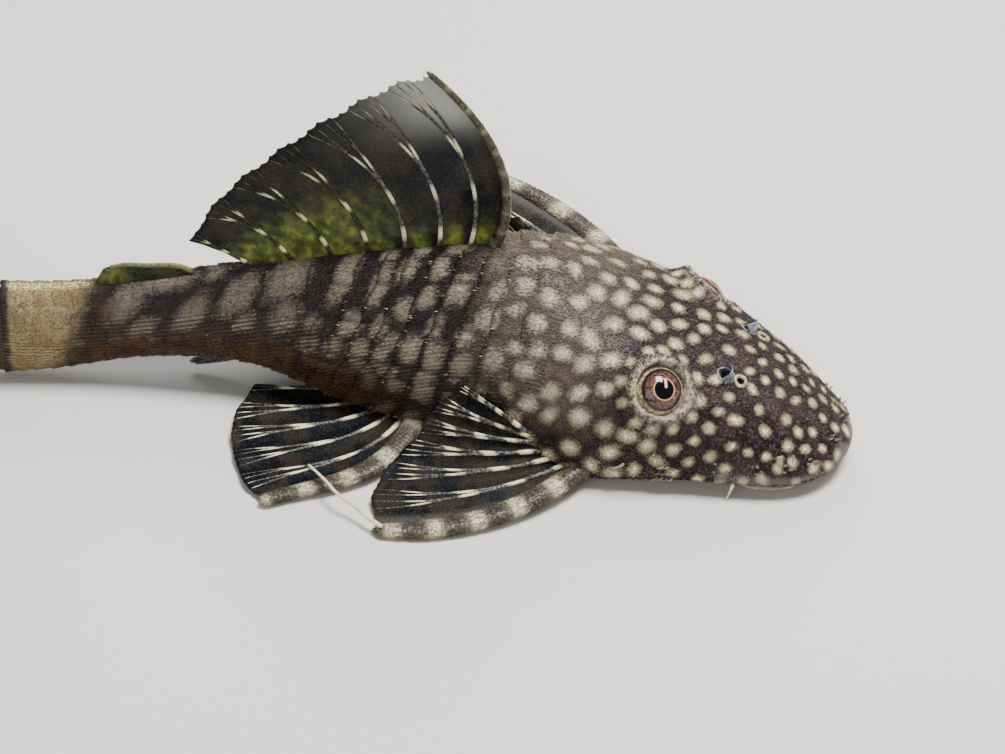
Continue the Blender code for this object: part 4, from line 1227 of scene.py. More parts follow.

# %% [markdown]
# Eyes.
#
# A pleco's eye is small and hard, under a clear wet skin. Its iris has a lobe that hangs into
# the pupil from above like a curtain, and closes over it in bright light. The lobe is painted
# pinkish white: partly the lobe itself and partly a painted catchlight. From the middle
# outward come the pupil, a peach ring, mottled copper, a dark ring and a pale rim.

# %% Eyeballs
def wet_eye():
    material, tree, shader = new_material("wet_eye", IOR=1.36, Roughness=0.12, Coat_Weight=0.35,
                                          Coat_Roughness=0.02)
    far = read(tree, "far")
    fleck = grain(tree, 0.35)
    tiny = grain(tree, 0.14)
    colour = mottled(tree, fleck, 0.4, 0.6, "#22121a", "#5f3a2c")
    colour = layered(tree, colour, tiny, 0.52, 0.68, "#b99a80", 0.6)
    colour = layered(tree, colour, far, 1.16, 1.03, "#d0a07c")
    colour = layered(tree, colour, far, 1.66, 1.9, "#171216")
    pale = mottled(tree, fleck, 0.4, 0.6, "#6d6a4d", "#c2b995")
    colour = mixed(tree, ranged(tree, far, 1.98, 2.1), colour, pale)
    colour = layered(tree, colour, far, 2.3, 2.5, "#8c7668")
    colour = layered(tree, colour, read(tree, "pupil"), -0.04, 0.04, "#020103")
    # The lobe is painted pinkish white: partly the iris lobe, partly a painted catchlight.
    colour = layered(tree, colour, read(tree, "lobe_and_catchlight"), -0.05, 0.06, "#e6c6c0")
    coat(tree, shader, colour)
    return material


EYE = wet_eye()
PUPIL_RADIUS = 0.98
LOBE_AND_CATCHLIGHT = ((0.36, 0.98), (0.2, 0.2), 0.13)


def distance_to_line(x, y, start, end):
    """How far points lie from a short straight line."""
    run = np.subtract(end, start)
    along = np.clip(((x - start[0]) * run[0] + (y - start[1]) * run[1]) / (run @ run), 0, 1)
    return np.hypot(x - start[0] - along * run[0], y - start[1] - along * run[1])


def make_eye(word, side):
    centre, (_, _, out) = eye_frame(side)
    upward = unit(np.array([0, 0, 1.0]) - out * out[2])
    ahead = np.cross(upward, out)
    polar = np.radians(np.concatenate([np.linspace(1, 62, 56), np.linspace(66, 179, 22)]))[:, None]
    turn = (2 * math.pi * np.arange(88) / 88)[None, :]
    x, y = np.sin(polar) * np.cos(turn), np.sin(polar) * np.sin(turn)
    z = np.cos(polar) + 0 * turn
    rings = centre + EYE_RADIUS * (x[..., None] * ahead + y[..., None] * upward + z[..., None] * out)
    points, faces = closed_rings(rings)
    x, y = EYE_RADIUS * x, EYE_RADIUS * y
    far = np.where(z > 0, np.hypot(x, y), 3.0)
    lobe_and_catchlight = LOBE_AND_CATCHLIGHT[2] - distance_to_line(x, y, LOBE_AND_CATCHLIGHT[0], LOBE_AND_CATCHLIGHT[1])
    lobe_and_catchlight = np.minimum(lobe_and_catchlight, PUPIL_RADIUS + 0.06 - far)
    pupil = np.minimum(PUPIL_RADIUS - far, -lobe_and_catchlight)
    numbers = {"far": far, "pupil": pupil, "lobe_and_catchlight": lobe_and_catchlight}
    ends = {"far": (0.0, 3.0), "pupil": (PUPIL_RADIUS, -1.0), "lobe_and_catchlight": (-0.2, -1.0)}
    numbers = {key: np.append(values.ravel(), ends[key]) for key, values in numbers.items()}
    keep(make_piece("eyeball_" + word, points, faces, EYE, numbers), "eye", "eye_" + word)


make_eye("right", RIGHT)
make_eye("left", LEFT)

# %% [markdown]
# Nostrils, hooks and feelers.
#
# Small soft and hard parts bring a head to life: each nostril has a short tube in front and a
# thin flap that guides water into the second opening. Curved hooks stand on the cheeks, a white
# feeler hangs at each corner of the mouth, and short tentacles fringe the snout, which are the
# bristles that this fish is named for.

# %% Nostrils, cheek hooks, feelers and tentacles
CHEEK_START = 14.9
CHEEK_SHARE = 0.605
CHEEK_STEP = 0.5
BIG_HOOK = (19.9, 0.56)
BARBEL_PLACE = (9.0, 0.6)
SNOUT_TENTACLES = [(1.2, 0.16), (2.3, 0.4), (4.2, 0.46), (6.6, 0.5), (10.5, 0.53)]
WIRE_TURNS = 28
WIRE_SIDES = 8
HORN_LOWEST = 0.05


def soft_tissue(name, first, second, size, **constants):
    """A material for soft parts: two colours in cloudy patches."""
    material, tree, shader = new_material(name, **constants)
    colour = mottled(tree, grain(tree, size), 0.38, 0.64, first, second)
    coat(tree, shader, colour, grain(tree, size / 3), 0.4, 0.03)
    return material


FLAP = soft_tissue("thin_nostril_skin", "#8a8c93", "#4c4750", 0.4, Roughness=0.3, Coat_Weight=0.3)
TUBE = soft_tissue("yellow_nostril_rim", "#c9b985", "#6b5c48", 0.4, Roughness=0.35)
HOOK = soft_tissue("glassy_hook_bone", "#a3957e", "#54443a", 0.6, Roughness=0.15, Coat_Weight=0.6)
FEELER = soft_tissue("white_feeler_skin", "#e6dfd2", "#b3a698", 0.4, Roughness=0.4)
TENTACLE = soft_tissue("grey_tentacle_skin", "#8d8580", "#5e5450", 0.4, Roughness=0.4)


def circle_of_wire(centre, first, second, out, radius, wire):
    """Points and faces of a ring of round wire."""
    turn = (2 * math.pi * np.arange(WIRE_TURNS) / WIRE_TURNS)[:, None, None]
    roll = (2 * math.pi * np.arange(WIRE_SIDES) / WIRE_SIDES)[None, :, None]
    spoke = np.cos(turn) * first + np.sin(turn) * second
    points = centre + spoke * (radius + wire * np.cos(roll)) + out * wire * np.sin(roll)
    k = np.arange(WIRE_TURNS)[:, None]
    m = np.arange(WIRE_SIDES)[None, :]
    here, there = k * WIRE_SIDES, (k + 1) % WIRE_TURNS * WIRE_SIDES
    after = (m + 1) % WIRE_SIDES
    corners = [here + m, there + m, there + after, here + after]
    faces = np.stack([c + 0 * (k + m) for c in corners], -1).reshape(-1, 4).tolist()
    return points.reshape(-1, 3), faces


def horn(bundle, root, aim, length, radius, bend, sides=8, steps=14):
    """A curved cone with a fine point, its root a little below the skin."""
    v = np.linspace(-0.2, 1, steps)[:, None]
    path = root + unit(aim) * length * v + np.asarray(bend) * np.maximum(v, 0) ** 2
    size = radius * (1 - np.clip(v[:, 0], 0, 1)) ** 0.75 + 0.012
    path[:, 2] = np.maximum(path[:, 2], size + HORN_LOWEST)
    bundle.add(*closed_rings(tube(path, size, size, (0.3, 0.2, 1.0), sides)))


def make_nostrils(word, side):
    front, rear = nostril_holes(side)
    hole, out, back, down = front
    points, faces = circle_of_wire(hole + 0.16 * out, back, down, out, 0.54, 0.2)
    keep(make_piece("nostril_tube_" + word, points, faces, TUBE), "plated_skin")
    hole, out, back, down = rear
    points, faces = circle_of_wire(hole + 0.02 * out, 1.12 * back, 0.95 * down, out, 0.78, 0.11)
    keep(make_piece("nostril_rim_" + word, points, faces, FLAP), "plated_skin")
    hole, out, back, down = skin_frame(NOSTRIL_PLACE[0], side * NOSTRIL_PLACE[1])
    across = np.linspace(-1, 1, 21)[:, None]
    rise = np.linspace(-0.25, 1, 12)[None, :]
    tall = 1.25 * (1 - 0.45 * np.abs(across) ** 2.2) * rise
    curve_back = 0.1 + 0.5 * across**2 + 0.45 * rise
    middle = (hole + (1.0 * across)[..., None] * down + (curve_back + 0 * rise)[..., None] * back
              + tall[..., None] * out)
    wall = 0.1 * (1.15 - rise) + 0.02 + 0 * across
    faces_of = [middle + side_of * wall[..., None] * back for side_of in (1, -1)]
    points, faces = closed_rings(np.concatenate([faces_of[0], faces_of[1][:, ::-1]], axis=1))
    keep(make_piece("nostril_flap_" + word, points, faces, FLAP), "plated_skin")


def make_face_parts(word, side):
    hooks, feelers, tentacles = Bundle(), Bundle(), Bundle()
    for row, count in ((0, 4), (1, 3), (2, 2)):
        for k in range(count):
            s = CHEEK_START + CHEEK_STEP * (k + 0.5 * row)
            root, out, back, down = skin_frame(s, side * (CHEEK_SHARE - 0.025 * row))
            aim = out + 0.25 * back + 0.3 * down
            length = rng.uniform(0.4, 0.6)
            horn(hooks, root, aim, length, 0.14, (0.8 * back - 0.4 * out) * length)
    root, out, back, down = skin_frame(BIG_HOOK[0], side * BIG_HOOK[1])
    horn(hooks, root, out + 0.1 * back + 0.2 * down, 1.2, 0.22, 1.2 * back - 0.5 * out)
    root, out, back, down = skin_frame(BARBEL_PLACE[0], side * BARBEL_PLACE[1])
    horn(feelers, root, out + 0.2 * back + 0.25 * down, 1.9, 0.2, 0.25 * back - np.array([0, 0, 0.3]))
    for s, share in SNOUT_TENTACLES:
        for step in (-0.45, 0.0, 0.45):
            root, out, back, down = skin_frame(s + abs(step), side * (share + 0.04 * step))
            length = rng.uniform(0.45, 0.75) * (1.0 if step == 0 else 0.6)
            horn(tentacles, root, out - 0.35 * back, length, 0.13, (0, 0, 0.18))
    keep(hooks.make("cheek_hooks_" + word, HOOK), "plated_skin")
    keep(feelers.make("mouth_feeler_" + word, FEELER), "plated_skin")
    keep(tentacles.make("snout_tentacles_" + word, TENTACLE), "plated_skin")


for word, side in (("right", RIGHT), ("left", LEFT)):
    make_nostrils(word, side)
    make_face_parts(word, side)

# %% [markdown]
# The mouth.
#
# The mouth is a sucker: a round disc of soft lips under the snout, covered with papillae, which
# grip like small rubber knobs. Two combs of rasping teeth stand in the opening.

# %% Lips and rasping teeth
MOUTH_CENTRE = 8.2
MOUTH_LENGTH = 6.6
MOUTH_WIDTH = 7.4
LIP_PROFILE = [(0, 0.55, 0.98), (0.12, 0.85, 0.95), (0.25, 0.97, 0.65), (0.36, 1.0, 0.35),
               (0.47, 0.95, 0.02), (0.6, 0.8, 0.02), (0.76, 0.62, 0.3), (0.9, 0.35, 0.45), (1, 0.06, 0.5)]

LIPS = soft_tissue("soft_lip_skin", "#c9b3a0", "#94806f", 1.4, Roughness=0.45, Coat_Weight=0.2)
RASPS = soft_tissue("amber_rasping_teeth", "#c08a4a", "#7d5427", 0.8, Roughness=0.3)


def make_mouth():
    """The lips, as rings from their root outward, down and in under the mouth, and four tooth combs."""
    profile = row_curve(LIP_PROFILE)
    v = np.linspace(0, 1, 70)
    out, z = profile(v).T
    turn = 2 * math.pi * np.arange(168) / 168
    knob = np.sin(26 * turn[None, :] + 3.1 * np.floor(v * 24)[:, None])
    knob = knob * np.sin(2 * math.pi * 12 * v)[:, None]
    under = smooth_step((v - 0.42) / 0.08) * (1 - smooth_step((v - 0.86) / 0.08))
    height = z[:, None] + 0.09 * (1 + knob) * under[:, None]
    reach = (out * (1 - 0.015 * under))[:, None] + 0 * turn
    notch = 1 - 0.1 * bump(turn, math.pi, 0.16)[None, :] * smooth_step(out)[:, None]
    s = MOUTH_CENTRE - MOUTH_LENGTH * reach * notch * np.cos(turn)
    rings = place(s, MOUTH_WIDTH * reach * notch * np.sin(turn), np.maximum(height, 0.0))
    points, faces = closed_rings(rings)
    keep(make_piece("lips", points, faces, LIPS), "lip_skin", "mouth_disc")
    combs = Bundle()
    for jaw in (1, -1):
        for side in (RIGHT, LEFT):
            for k in range(16):
                root = place(MOUTH_CENTRE - 0.3 - jaw * (0.95 + 0.02 * k), side * (0.25 + 0.11 * k), 0.52)
                horn(combs, root, (0.35 * jaw, 0, -1), 0.34, 0.05, (-0.2 * jaw, 0, 0), sides=5, steps=6)
    keep(combs.make("rasping_teeth", RASPS), "lip_skin")


make_mouth()

# %% [markdown]
# The fins.
#
# A fin is a fan of thin bony rays that branch toward the edge, joined by a clear skin. The first
# ray of most fins is a stout spine set with bristles. Each fan is worked out from a curve of
# roots and a curve of tips, the same ones as the solid fin, so that spine, rays and skin agree.

# %% Fans
class Fan:
    """A fan of rays in (s, side, z) of the fish: u crosses the rays and v runs along them."""

    def __init__(self, roots, tips, bow, side, spread=0.0, lift=0.0, lean=0.0):
        self.root = row_curve(roots)
        self.tip = row_curve(tips)
        self.bow = bow
        self.side = side
        self.spread = math.radians(spread)
        self.lift = lift
        self.lean = lean

    def point(self, u, v, lift=0.0):
        """World points of the fan, lifted off its face by some millimetres."""
        u, v = np.broadcast_arrays(np.asarray(u, float), v)
        root, tip = self.root(u), self.tip(u)
        bend = np.stack([b + 0 * u for b in self.bow(u)], -1)
        bent = 4 * v * (1 - v) * (1 + self.lean * (1 - 2 * v))
        spot = root + (tip - root) * v[..., None] + bend * bent[..., None]
        hinge = self.root(0.0)
        along, out = spot[..., 0] - hinge[0], spot[..., 1] - hinge[1]
        turn = self.spread
        s = hinge[0] + along * math.cos(turn) - out * math.sin(turn)
        side = hinge[1] + along * math.sin(turn) + out * math.cos(turn)
        points = place(s, self.side * side, spot[..., 2] + self.lift * (side - hinge[1]))
        if np.any(lift):
            points = points + self.normal(u, v) * np.asarray(lift)[..., None]
        return points

    def normal(self, u, v):
        across = self.point(np.minimum(u + 0.02, 1), v) - self.point(np.maximum(u - 0.02, 0), v)
        along = self.point(u, np.minimum(v + 0.02, 1)) - self.point(u, np.maximum(v - 0.02, 0))
        return unit(np.cross(across, along))


def dorsal_fan():
    roots = [(k / 7, s, 0.0, float(back_height(s)) - 1.1)
             for k, s in enumerate(37.3 + 22.4 * np.linspace(0, 1, 8) ** 1.15)]
    tips = [(0, 43.8, 0, 36.2), (1 / 7, 46.9, 0.2, 35.0), (2 / 7, 50.6, 0.4, 32.5),
            (4 / 7, 58.2, 0.7, 26.3), (6 / 7, 64.6, 0.6, 19.6), (1, 66.8, 0.3, 15.6)]
    return Fan(roots, tips, lambda u: (-3.4 * (1 - u) - 0.4, 0.5, 0.0), LEFT)


def pectoral_fan(side, spread, lift, arch, bulge):
    roots = [(0, 23.4, 10.6, 2.1), (1, 29.7, 9.4 + 2.6 * bulge, 4.3)]
    tips = [(0, 45.4, 24.1, 0.45), (0.15, 46.9, 20.2, 0.6), (0.35, 45.6, 16.1, 1.4),
            (0.6, 42.4, 13.3, 3.7), (0.8, 41.0, 12.2, 6.2), (1, 37.7, 11.5, 8.8)]
    return Fan(roots, tips, lambda u: (-2.6 * (1 - u) ** 1.5, arch * (1 - u) ** 1.5 + bulge * u,
                                       bulge * u - 0.35 * (1 - u)), side, spread, lift=lift)


def pelvic_fan(side, spread):
    roots = [(0, 43.0, 7.0, 1.7), (1, 47.6, 4.9, 1.6)]
    tips = [(0, 58.6, 20.8, 0.6), (0.15, 60.5, 19.0, 0.6), (0.4, 62.1, 14.8, 0.6), (0.6, 62.6, 11.3, 0.7),
            (0.8, 62.2, 7.9, 0.9), (1, 60.5, 4.2, 1.2)]
    return Fan(roots, tips, lambda u: (-1.6 * (1 - u), 3.2 * (1 - u), -0.2), side, spread, lean=0.6)


def anal_fan():
    roots = [(0, 57.4, 0, 3.0), (1, 60.6, 0, 3.9)]
    tips = [(0, 66.6, 0, 0.55), (0.5, 67.2, 0, 1.0), (1, 65.6, 0, 1.75)]
    return Fan(roots, tips, lambda u: (0, 0, -0.3 * (1 - u)), LEFT)


def caudal_fan():
    base = STANDARD_LENGTH - 0.3
    roots = [(0, base, 0, 10.0), (1, base, 0, 1.15)]
    tips = [(0, 107.2, 1.6, 20.0), (0.12, 105.9, 1.5, 18.0), (0.3, 105.2, 1.3, 14.7),
            (0.5, 105.2, 1.2, 10.7), (0.7, 106.9, 1.2, 6.8), (0.88, 110.4, 1.5, 3.0), (1, 113.5, 1.8, 0.7)]
    return Fan(roots, tips, lambda u: (0, -0.5, 0.5 * (1 - 2 * u)), LEFT)


# %% [markdown]
# Fin materials.
#
# The skin between the rays is a smoky film, clear in places and full of black pigment in others.
# The rays are jointed bone, dark with cream dashes that line up in rows across the fin. Both are
# thin and wet, so they shine a little.

# %% Ray bone and fin film
JOINT_STEP = 0.45


def smoky_fin_film():
    material, tree, shader = new_material("smoky_fin_film", IOR=1.38, Specular_IOR_Level=0.1,
                                          Roughness=0.52)
    fine = grain(tree, 0.2)
    broad = grain(tree, 3.0, detail=2.0)
    dark = mottled(tree, broad, 0.4, 0.6, "#0c0d10", "#2a221a")
    dark = layered(tree, dark, fine, 0.52, 0.66, "#39424a", 0.5)
    dark = mixed(tree, read(tree, "clear"), dark, paint("#3a3d33"))
    dark = layered(tree, dark, maths(tree, "ADD", read(tree, "ashy"), fine), 0.75, 1.5, "#4d4a46")
    pale = mottled(tree, grain(tree, 0.9), 0.4, 0.6, "#84903c", "#515e24")
    colour = mixed(tree, read(tree, "pale"), dark, pale)
    cover = maths(tree, "SUBTRACT", 0.92, maths(tree, "MULTIPLY", read(tree, "clear"), 0.35))
    tree.links.new(cover, shader.inputs["Alpha"])
    coat(tree, shader, colour, fine, 0.6, 0.05)
    return material


def jointed_ray_bone(name, dark_first, dark_second, cream_first, cream_second):
    material, tree, shader = new_material(name, IOR=1.45, Specular_IOR_Level=0.4, Roughness=0.38)
    fine = grain(tree, 0.25)
    dark = mottled(tree, fine, 0.42, 0.6, dark_first, dark_second)
    cream = mottled(tree, fine, 0.35, 0.7, cream_first, cream_second)
    joints = ripple(tree, "run", JOINT_STEP)
    cream = layered(tree, cream, joints, 0.5, 1.0, "#81785c", 0.3)
    ragged = maths(tree, "ADD", read(tree, "dash"), maths(tree, "MULTIPLY", fine, 0.4))
    colour = mixed(tree, ranged(tree, ragged, 0.5, 1.05), dark, cream)
    coat(tree, shader, colour, joints, 0.3, 0.03)
    return material


FILM = smoky_fin_film()
BONE = jointed_ray_bone("jointed_ray_bone", "#202022", "#6b6860", "#fff8d8", "#d2c591")
SPINE_BONE = jointed_ray_bone("bristly_spine_bone", "#332b27", "#655b50", "#e9e0c6", "#a0947c")
OLIVE_BONE = jointed_ray_bone("olive_spine_bone", "#2c3320", "#5a6136", "#c9c684", "#8d8f52")
DUSKY_BONE = jointed_ray_bone("dusky_spine_bone", "#24221b", "#4b4836", "#d9d5a8", "#918c66")
OLIVE_RAY = jointed_ray_bone("olive_ray_bone", "#12160f", "#333a20", "#f1f0ba", "#aab466")

# %% Film, rays and spines
FILM_HALF = 0.07
FIN_LOWEST = 0.12
RAY_REACH = 0.985
PLEAT_DEPTH = 0.1
RAY_SIDES = 6
LINES_TO_A_RAY = 16
FILM_STEPS = 26
SPINE_SIDES = 14
SPINE_STEPS = 60
SPINE_LOWEST = 0.02
BRISTLE_RISE = 0.6


def row_of_dashes(v, rows, phase):
    """1 in the middle of a cream dash and 0 between dashes, along a ray."""
    return (0.5 + 0.5 * np.cos(2 * math.pi * (v * rows - phase))) ** 1.8


def pleat(u, v, rays):
    """How far a fin's skin folds to one side along each ray and to the other between them."""
    return PLEAT_DEPTH * np.cos(2 * math.pi * u * rays) * smooth_step(v / 0.3)


def run_along(path):
    """How far along a path each of its points lies."""
    return np.concatenate([[0], np.cumsum(np.linalg.norm(np.diff(path, axis=0), axis=1))])


def dashed_tube(name, rings, dash, run, bone):
    """A piece of ray bone that is one closed tube, with a dash and a run for each ring."""
    points, faces = closed_rings(rings)
    numbers = {"dash": on_rings(dash, rings.shape[1]), "run": on_rings(run, rings.shape[1])}
    return keep(make_piece(name, points, faces, bone, numbers), "fin_membrane")


def film(name, fan, rays, node, notch=0.012, **marks):
    """The thin closed skin of a fan, with a scalloped edge between its branches."""
    lines = LINES_TO_A_RAY * rays + 1
    u = np.linspace(0, 1, lines)[:, None]
    scallop = 1 - notch * np.abs(np.sin(4 * math.pi * u * rays)) ** 0.7
    scallop = scallop - notch * np.sin(math.pi * u * rays) ** 2
    v = np.linspace(0, 1, FILM_STEPS + 1)[None, :] * scallop
    faces_of = [fan.point(u, v, pleat(u, v, rays) + side * FILM_HALF) for side in (1, -1)]
    points = np.concatenate([f.reshape(-1, 3) for f in faces_of])
    points[:, 2] = np.maximum(points[:, 2], FIN_LOWEST)
    grid = np.arange(lines * (FILM_STEPS + 1)).reshape(lines, FILM_STEPS + 1)
    count = grid.size
    quads = np.stack([grid[:-1, :-1], grid[1:, :-1], grid[1:, 1:], grid[:-1, 1:]], -1).reshape(-1, 4)
    rim = np.concatenate([grid[:, 0], grid[-1, 1:], grid[-2::-1, -1], grid[0, -2:0:-1]])
    after = np.roll(rim, -1)
    sides = np.stack([rim, rim + count, after + count, after], -1)
    faces = np.vstack([quads[:, ::-1], quads + count, sides]).tolist()
    numbers = {}
    for key in ("clear", "pale", "ashy"):
        values = marks[key](u, v) if key in marks else 0.0
        numbers[key] = np.tile((values + 0 * v + 0 * u).ravel(), 2)
    return keep(make_piece(name, points, faces, FILM, numbers), "fin_membrane", node)


class Bristles:
    """Roots of bristles on several tubes, grown together as one piece."""

    def __init__(self):
        self.roots, self.leans, self.sizes, self.pale, self.spots = [], [], [], [], []

    def add(self, rings, dash, count, length):
        i = draw.random(count) * (len(rings) - 1.01)
        j = draw.random(count) * rings.shape[1]
        low = i.astype(int)
        root = grid_value(rings, i, j)
        middle = rings.mean(axis=1)
        out = unit(root - middle[low])
        along = unit(middle[low + 1] - middle[low])
        self.roots.append(root)
        self.leans.append(unit(BRISTLE_RISE * out + along + draw.normal(0, 0.15, (count, 3))))
        self.sizes.append(draw.uniform(*length, count))
        self.pale.append(np.clip(dash[low] * draw.uniform(0.6, 1.1, count), 0, 1))
        self.spots.append(np.stack([j / rings.shape[1], i / len(rings)], -1))

    def grow(self, name):
        strips = len(self.spots)
        root_map = [np.stack([(k + spot[:, 0]) / strips, MAP_START + MAP_SPAN * spot[:, 1]], -1)
                    for k, spot in enumerate(self.spots)]
        numbers = {"pale": np.concatenate(self.pale), "warm": 0 * np.concatenate(self.pale)}
        grow_teeth(name, np.vstack(self.roots), np.vstack(self.leans), np.concatenate(self.sizes), numbers,
                   np.vstack(root_map))


def ray_bundle(name, fan, rays, radius, rows, phases, shown=None, branches=(0.42, 0.72), opened=0.26,
               bristles=None, strength=1.0, pale_tips=0.0, bone=BONE):
    """Rays that branch twice, each branch a little tube with cream dashes."""
    bundle = Bundle()
    gap = 1 / rays
    low, high = branches
    for k in shown or range(1, rays + 1):
        room = 0.75 if k < rays else 0.5
        stretches = [(0.0, low + 0.04, 0, 0, 1.0, 0.8)]
        stretches += [(low, high + 0.03, a, 0, 0.68, 0.56) for a in (-1, 1)]
        stretches += [(high, RAY_REACH, a, b, 0.48, 0.26) for a in (-1, 1) for b in (-1, 1)]
        for start, end, a, b, thick, thin in stretches:
            v = np.linspace(start, end, 4 + int(26 * (end - start)))
            shift = a * smooth_step((v - low) / (1.15 - low))
            shift = shift + 0.48 * b * smooth_step((v - high) / (1.05 - high))
            u = np.clip(k * gap + opened * room * gap * shift, 0, 1)
            path = fan.point(u, v, pleat(u, v, rays))
            size = radius * np.linspace(thick, thin, len(v))
            path[:, 2] = np.maximum(path[:, 2], FIN_LOWEST + size)
            rings = tube(path, size, size, fan.normal(u, v), RAY_SIDES)
            dash = row_of_dashes(v, rows, phases(k) + 0.04 * (a + b))
            dash = np.maximum(dash * strength, pale_tips * smooth_step((v - 0.86) / 0.08))
            bundle.add(*closed_rings(rings), dash=on_rings(dash, RAY_SIDES),
                       run=on_rings(run_along(path), RAY_SIDES))
            if bristles is not None:
                count = int(26 * (v[-1] - v[0]) * (5 - min(k, 4)))
                bristles.add(rings, 0.15 + 0.7 * dash, count, (0.14, 0.24))
    return keep(bundle.make(name, bone), "fin_membrane")


def spine_piece(name, fan, u, wide, thick, upward, blocks, bristles, count, length=(0.2, 0.34),
                bone=SPINE_BONE):
    """A stout tapered spine along one edge of a fan. Its blocks are (rows, phase, base, contrast)."""
    v = np.linspace(0, 1.02, SPINE_STEPS)
    path = fan.point(u + 0 * v, np.minimum(v, 1.0))
    past_the_edge = unit(path[-1] - path[-8]) * np.maximum(v - 1, 0)[:, None]
    path = path + past_the_edge * np.linalg.norm(path[-1] - path[0])
    shape = np.linspace(0, 1, SPINE_STEPS)
    tip = np.sqrt(np.clip((1 - shape) / 0.03, 0.02, 1))
    rings = tube(path, np.interp(shape, *wide) * tip, np.interp(shape, *thick) * tip, upward, SPINE_SIDES)
    rings[..., 2] = np.maximum(rings[..., 2], SPINE_LOWEST)
    rows, phase, base, contrast = blocks
    dash = base + contrast * row_of_dashes(v, rows, phase)
    bristles.add(rings, 0.06 + 0.7 * dash, count, length)
    return dashed_tube(name, rings, dash, run_along(path), bone)


DORSAL = dorsal_fan()
CAUDAL = caudal_fan()
ANAL = anal_fan()


def make_dorsal():
    def clear(u, v):
        return bump(u, 0.08, 0.2) * smooth_step((v - 0.6) / 0.25)

    def pale(u, v):
        low = bump(v, 0.1, 0.08) * (0.5 + 0.5 * np.cos(2 * math.pi * u * 7 + 2.4))
        streak = 0.5 + 0.35 * np.cos(2 * math.pi * u * 14) * np.cos(2 * math.pi * (v * 3.8 - 0.9 * u))
        rear = smooth_step((u - 0.35) / 0.35) * (bump(v, 0.36, 0.2) + 0.6 * bump(v, 0.12, 0.1)) * streak
        return np.minimum(0.95 * np.maximum(low, 1.3 * rear), 0.85)

    bristles = Bristles()
    film("dorsal_film", DORSAL, 7, "dorsal_fin", clear=clear, pale=pale)
    for name, shown, bone in (("dorsal_rays", (1, 2, 3), BONE),
                              ("dorsal_rear_rays", (4, 5, 6, 7), OLIVE_RAY)):
        ray_bundle(name, DORSAL, 7, 0.27, 3.8, lambda k: 0.3 + 0.13 * k, shown, (0.46, 0.72), 0.32,
                   strength=0.85, pale_tips=0.55, bone=bone)
    spine_piece("dorsal_spine", DORSAL, 0.0, ((0, 1), (0.52, 0.3)), ((0, 1), (0.5, 0.28)), (1, 0, 0),
                (9, 0.3, 0.1, 0.4), bristles, 1300, (0.12, 0.22), bone=DUSKY_BONE)
    bristles.grow("dorsal_bristles")
    lock = Bundle()
    root = place(36.9, 0, float(back_height(36.9)) - 0.5)
    horn(lock, root, place(38.2, 0, 20.6) - root, 1.9, 0.75, (0, 0, 0), sides=12)
    keep(lock.make("dorsal_lock", DUSKY_BONE), "fin_membrane")


def make_pectoral(word, side, spread, lift, arch, bulge):
    fan = pectoral_fan(side, spread, lift, arch, bulge)
    bristles = Bristles()
    film("pectoral_film_" + word, fan, 6, "pectoral_fin_" + word, notch=0.004,
         ashy=lambda u, v: (1 - smooth_step((u - 0.03) / 0.1)) * smooth_step(v / 0.2))
    ray_bundle("pectoral_rays_" + word, fan, 6, 0.31, 4.3, lambda k: 0.2 + 0.31 * k, branches=(0.26, 0.6),
               opened=0.32, bristles=bristles)
    spine_piece("pectoral_spine_" + word, fan, 0.0, ((0, 0.3, 0.8, 1), (1.1, 1.1, 1.15, 0.7)),
                ((0, 1), (0.9, 0.5)), (0, 0, 1), (5.5, 0.2, 0.08, 0.85), bristles, 5200)
    bristles.grow("pectoral_bristles_" + word)


def make_pelvic(word, side, spread):
    fan = pelvic_fan(side, spread)
    bristles = Bristles()
    film("pelvic_film_" + word, fan, 5, "pelvic_fin_" + word, notch=0.004,
         ashy=lambda u, v: 0.8 * (1 - smooth_step((u - 0.03) / 0.08)))
    ray_bundle("pelvic_rays_" + word, fan, 5, 0.31, 3.6, lambda k: 0.35 + 0.27 * k, branches=(0.32, 0.64),
               opened=0.32, bristles=bristles)
    spine_piece("pelvic_spine_" + word, fan, 0.0, ((0, 0.3, 1), (1.0, 1.1, 0.65)), ((0, 1), (0.62, 0.45)),
                (0, 0, 1), (4.2, 0.25, 0.1, 0.75), bristles, 3400)
    bristles.grow("pelvic_bristles_" + word)


def make_tail_fin():
    bristles = Bristles()
    film("caudal_film", CAUDAL, 15, "caudal_fin", notch=0.02)
    ray_bundle("caudal_rays", CAUDAL, 15, 0.28, 6, lambda k: 0.1)
    for word, u in (("upper", 0.0), ("lower", 1.0)):
        spine_piece("caudal_spine_" + word, CAUDAL, u, ((0, 1), (0.62, 0.38)), ((0, 1), (0.7, 0.35)),
                    (0, 1, 0), (7, 0.1, 0.2, 0.6), bristles, 1200)
    bristles.grow("caudal_bristles")


def make_anal():
    film("anal_film", ANAL, 4, "anal_fin", notch=0.02)
    ray_bundle("anal_rays", ANAL, 4, 0.24, 2.5, lambda k: 0.2 * k, range(5), strength=0.3)


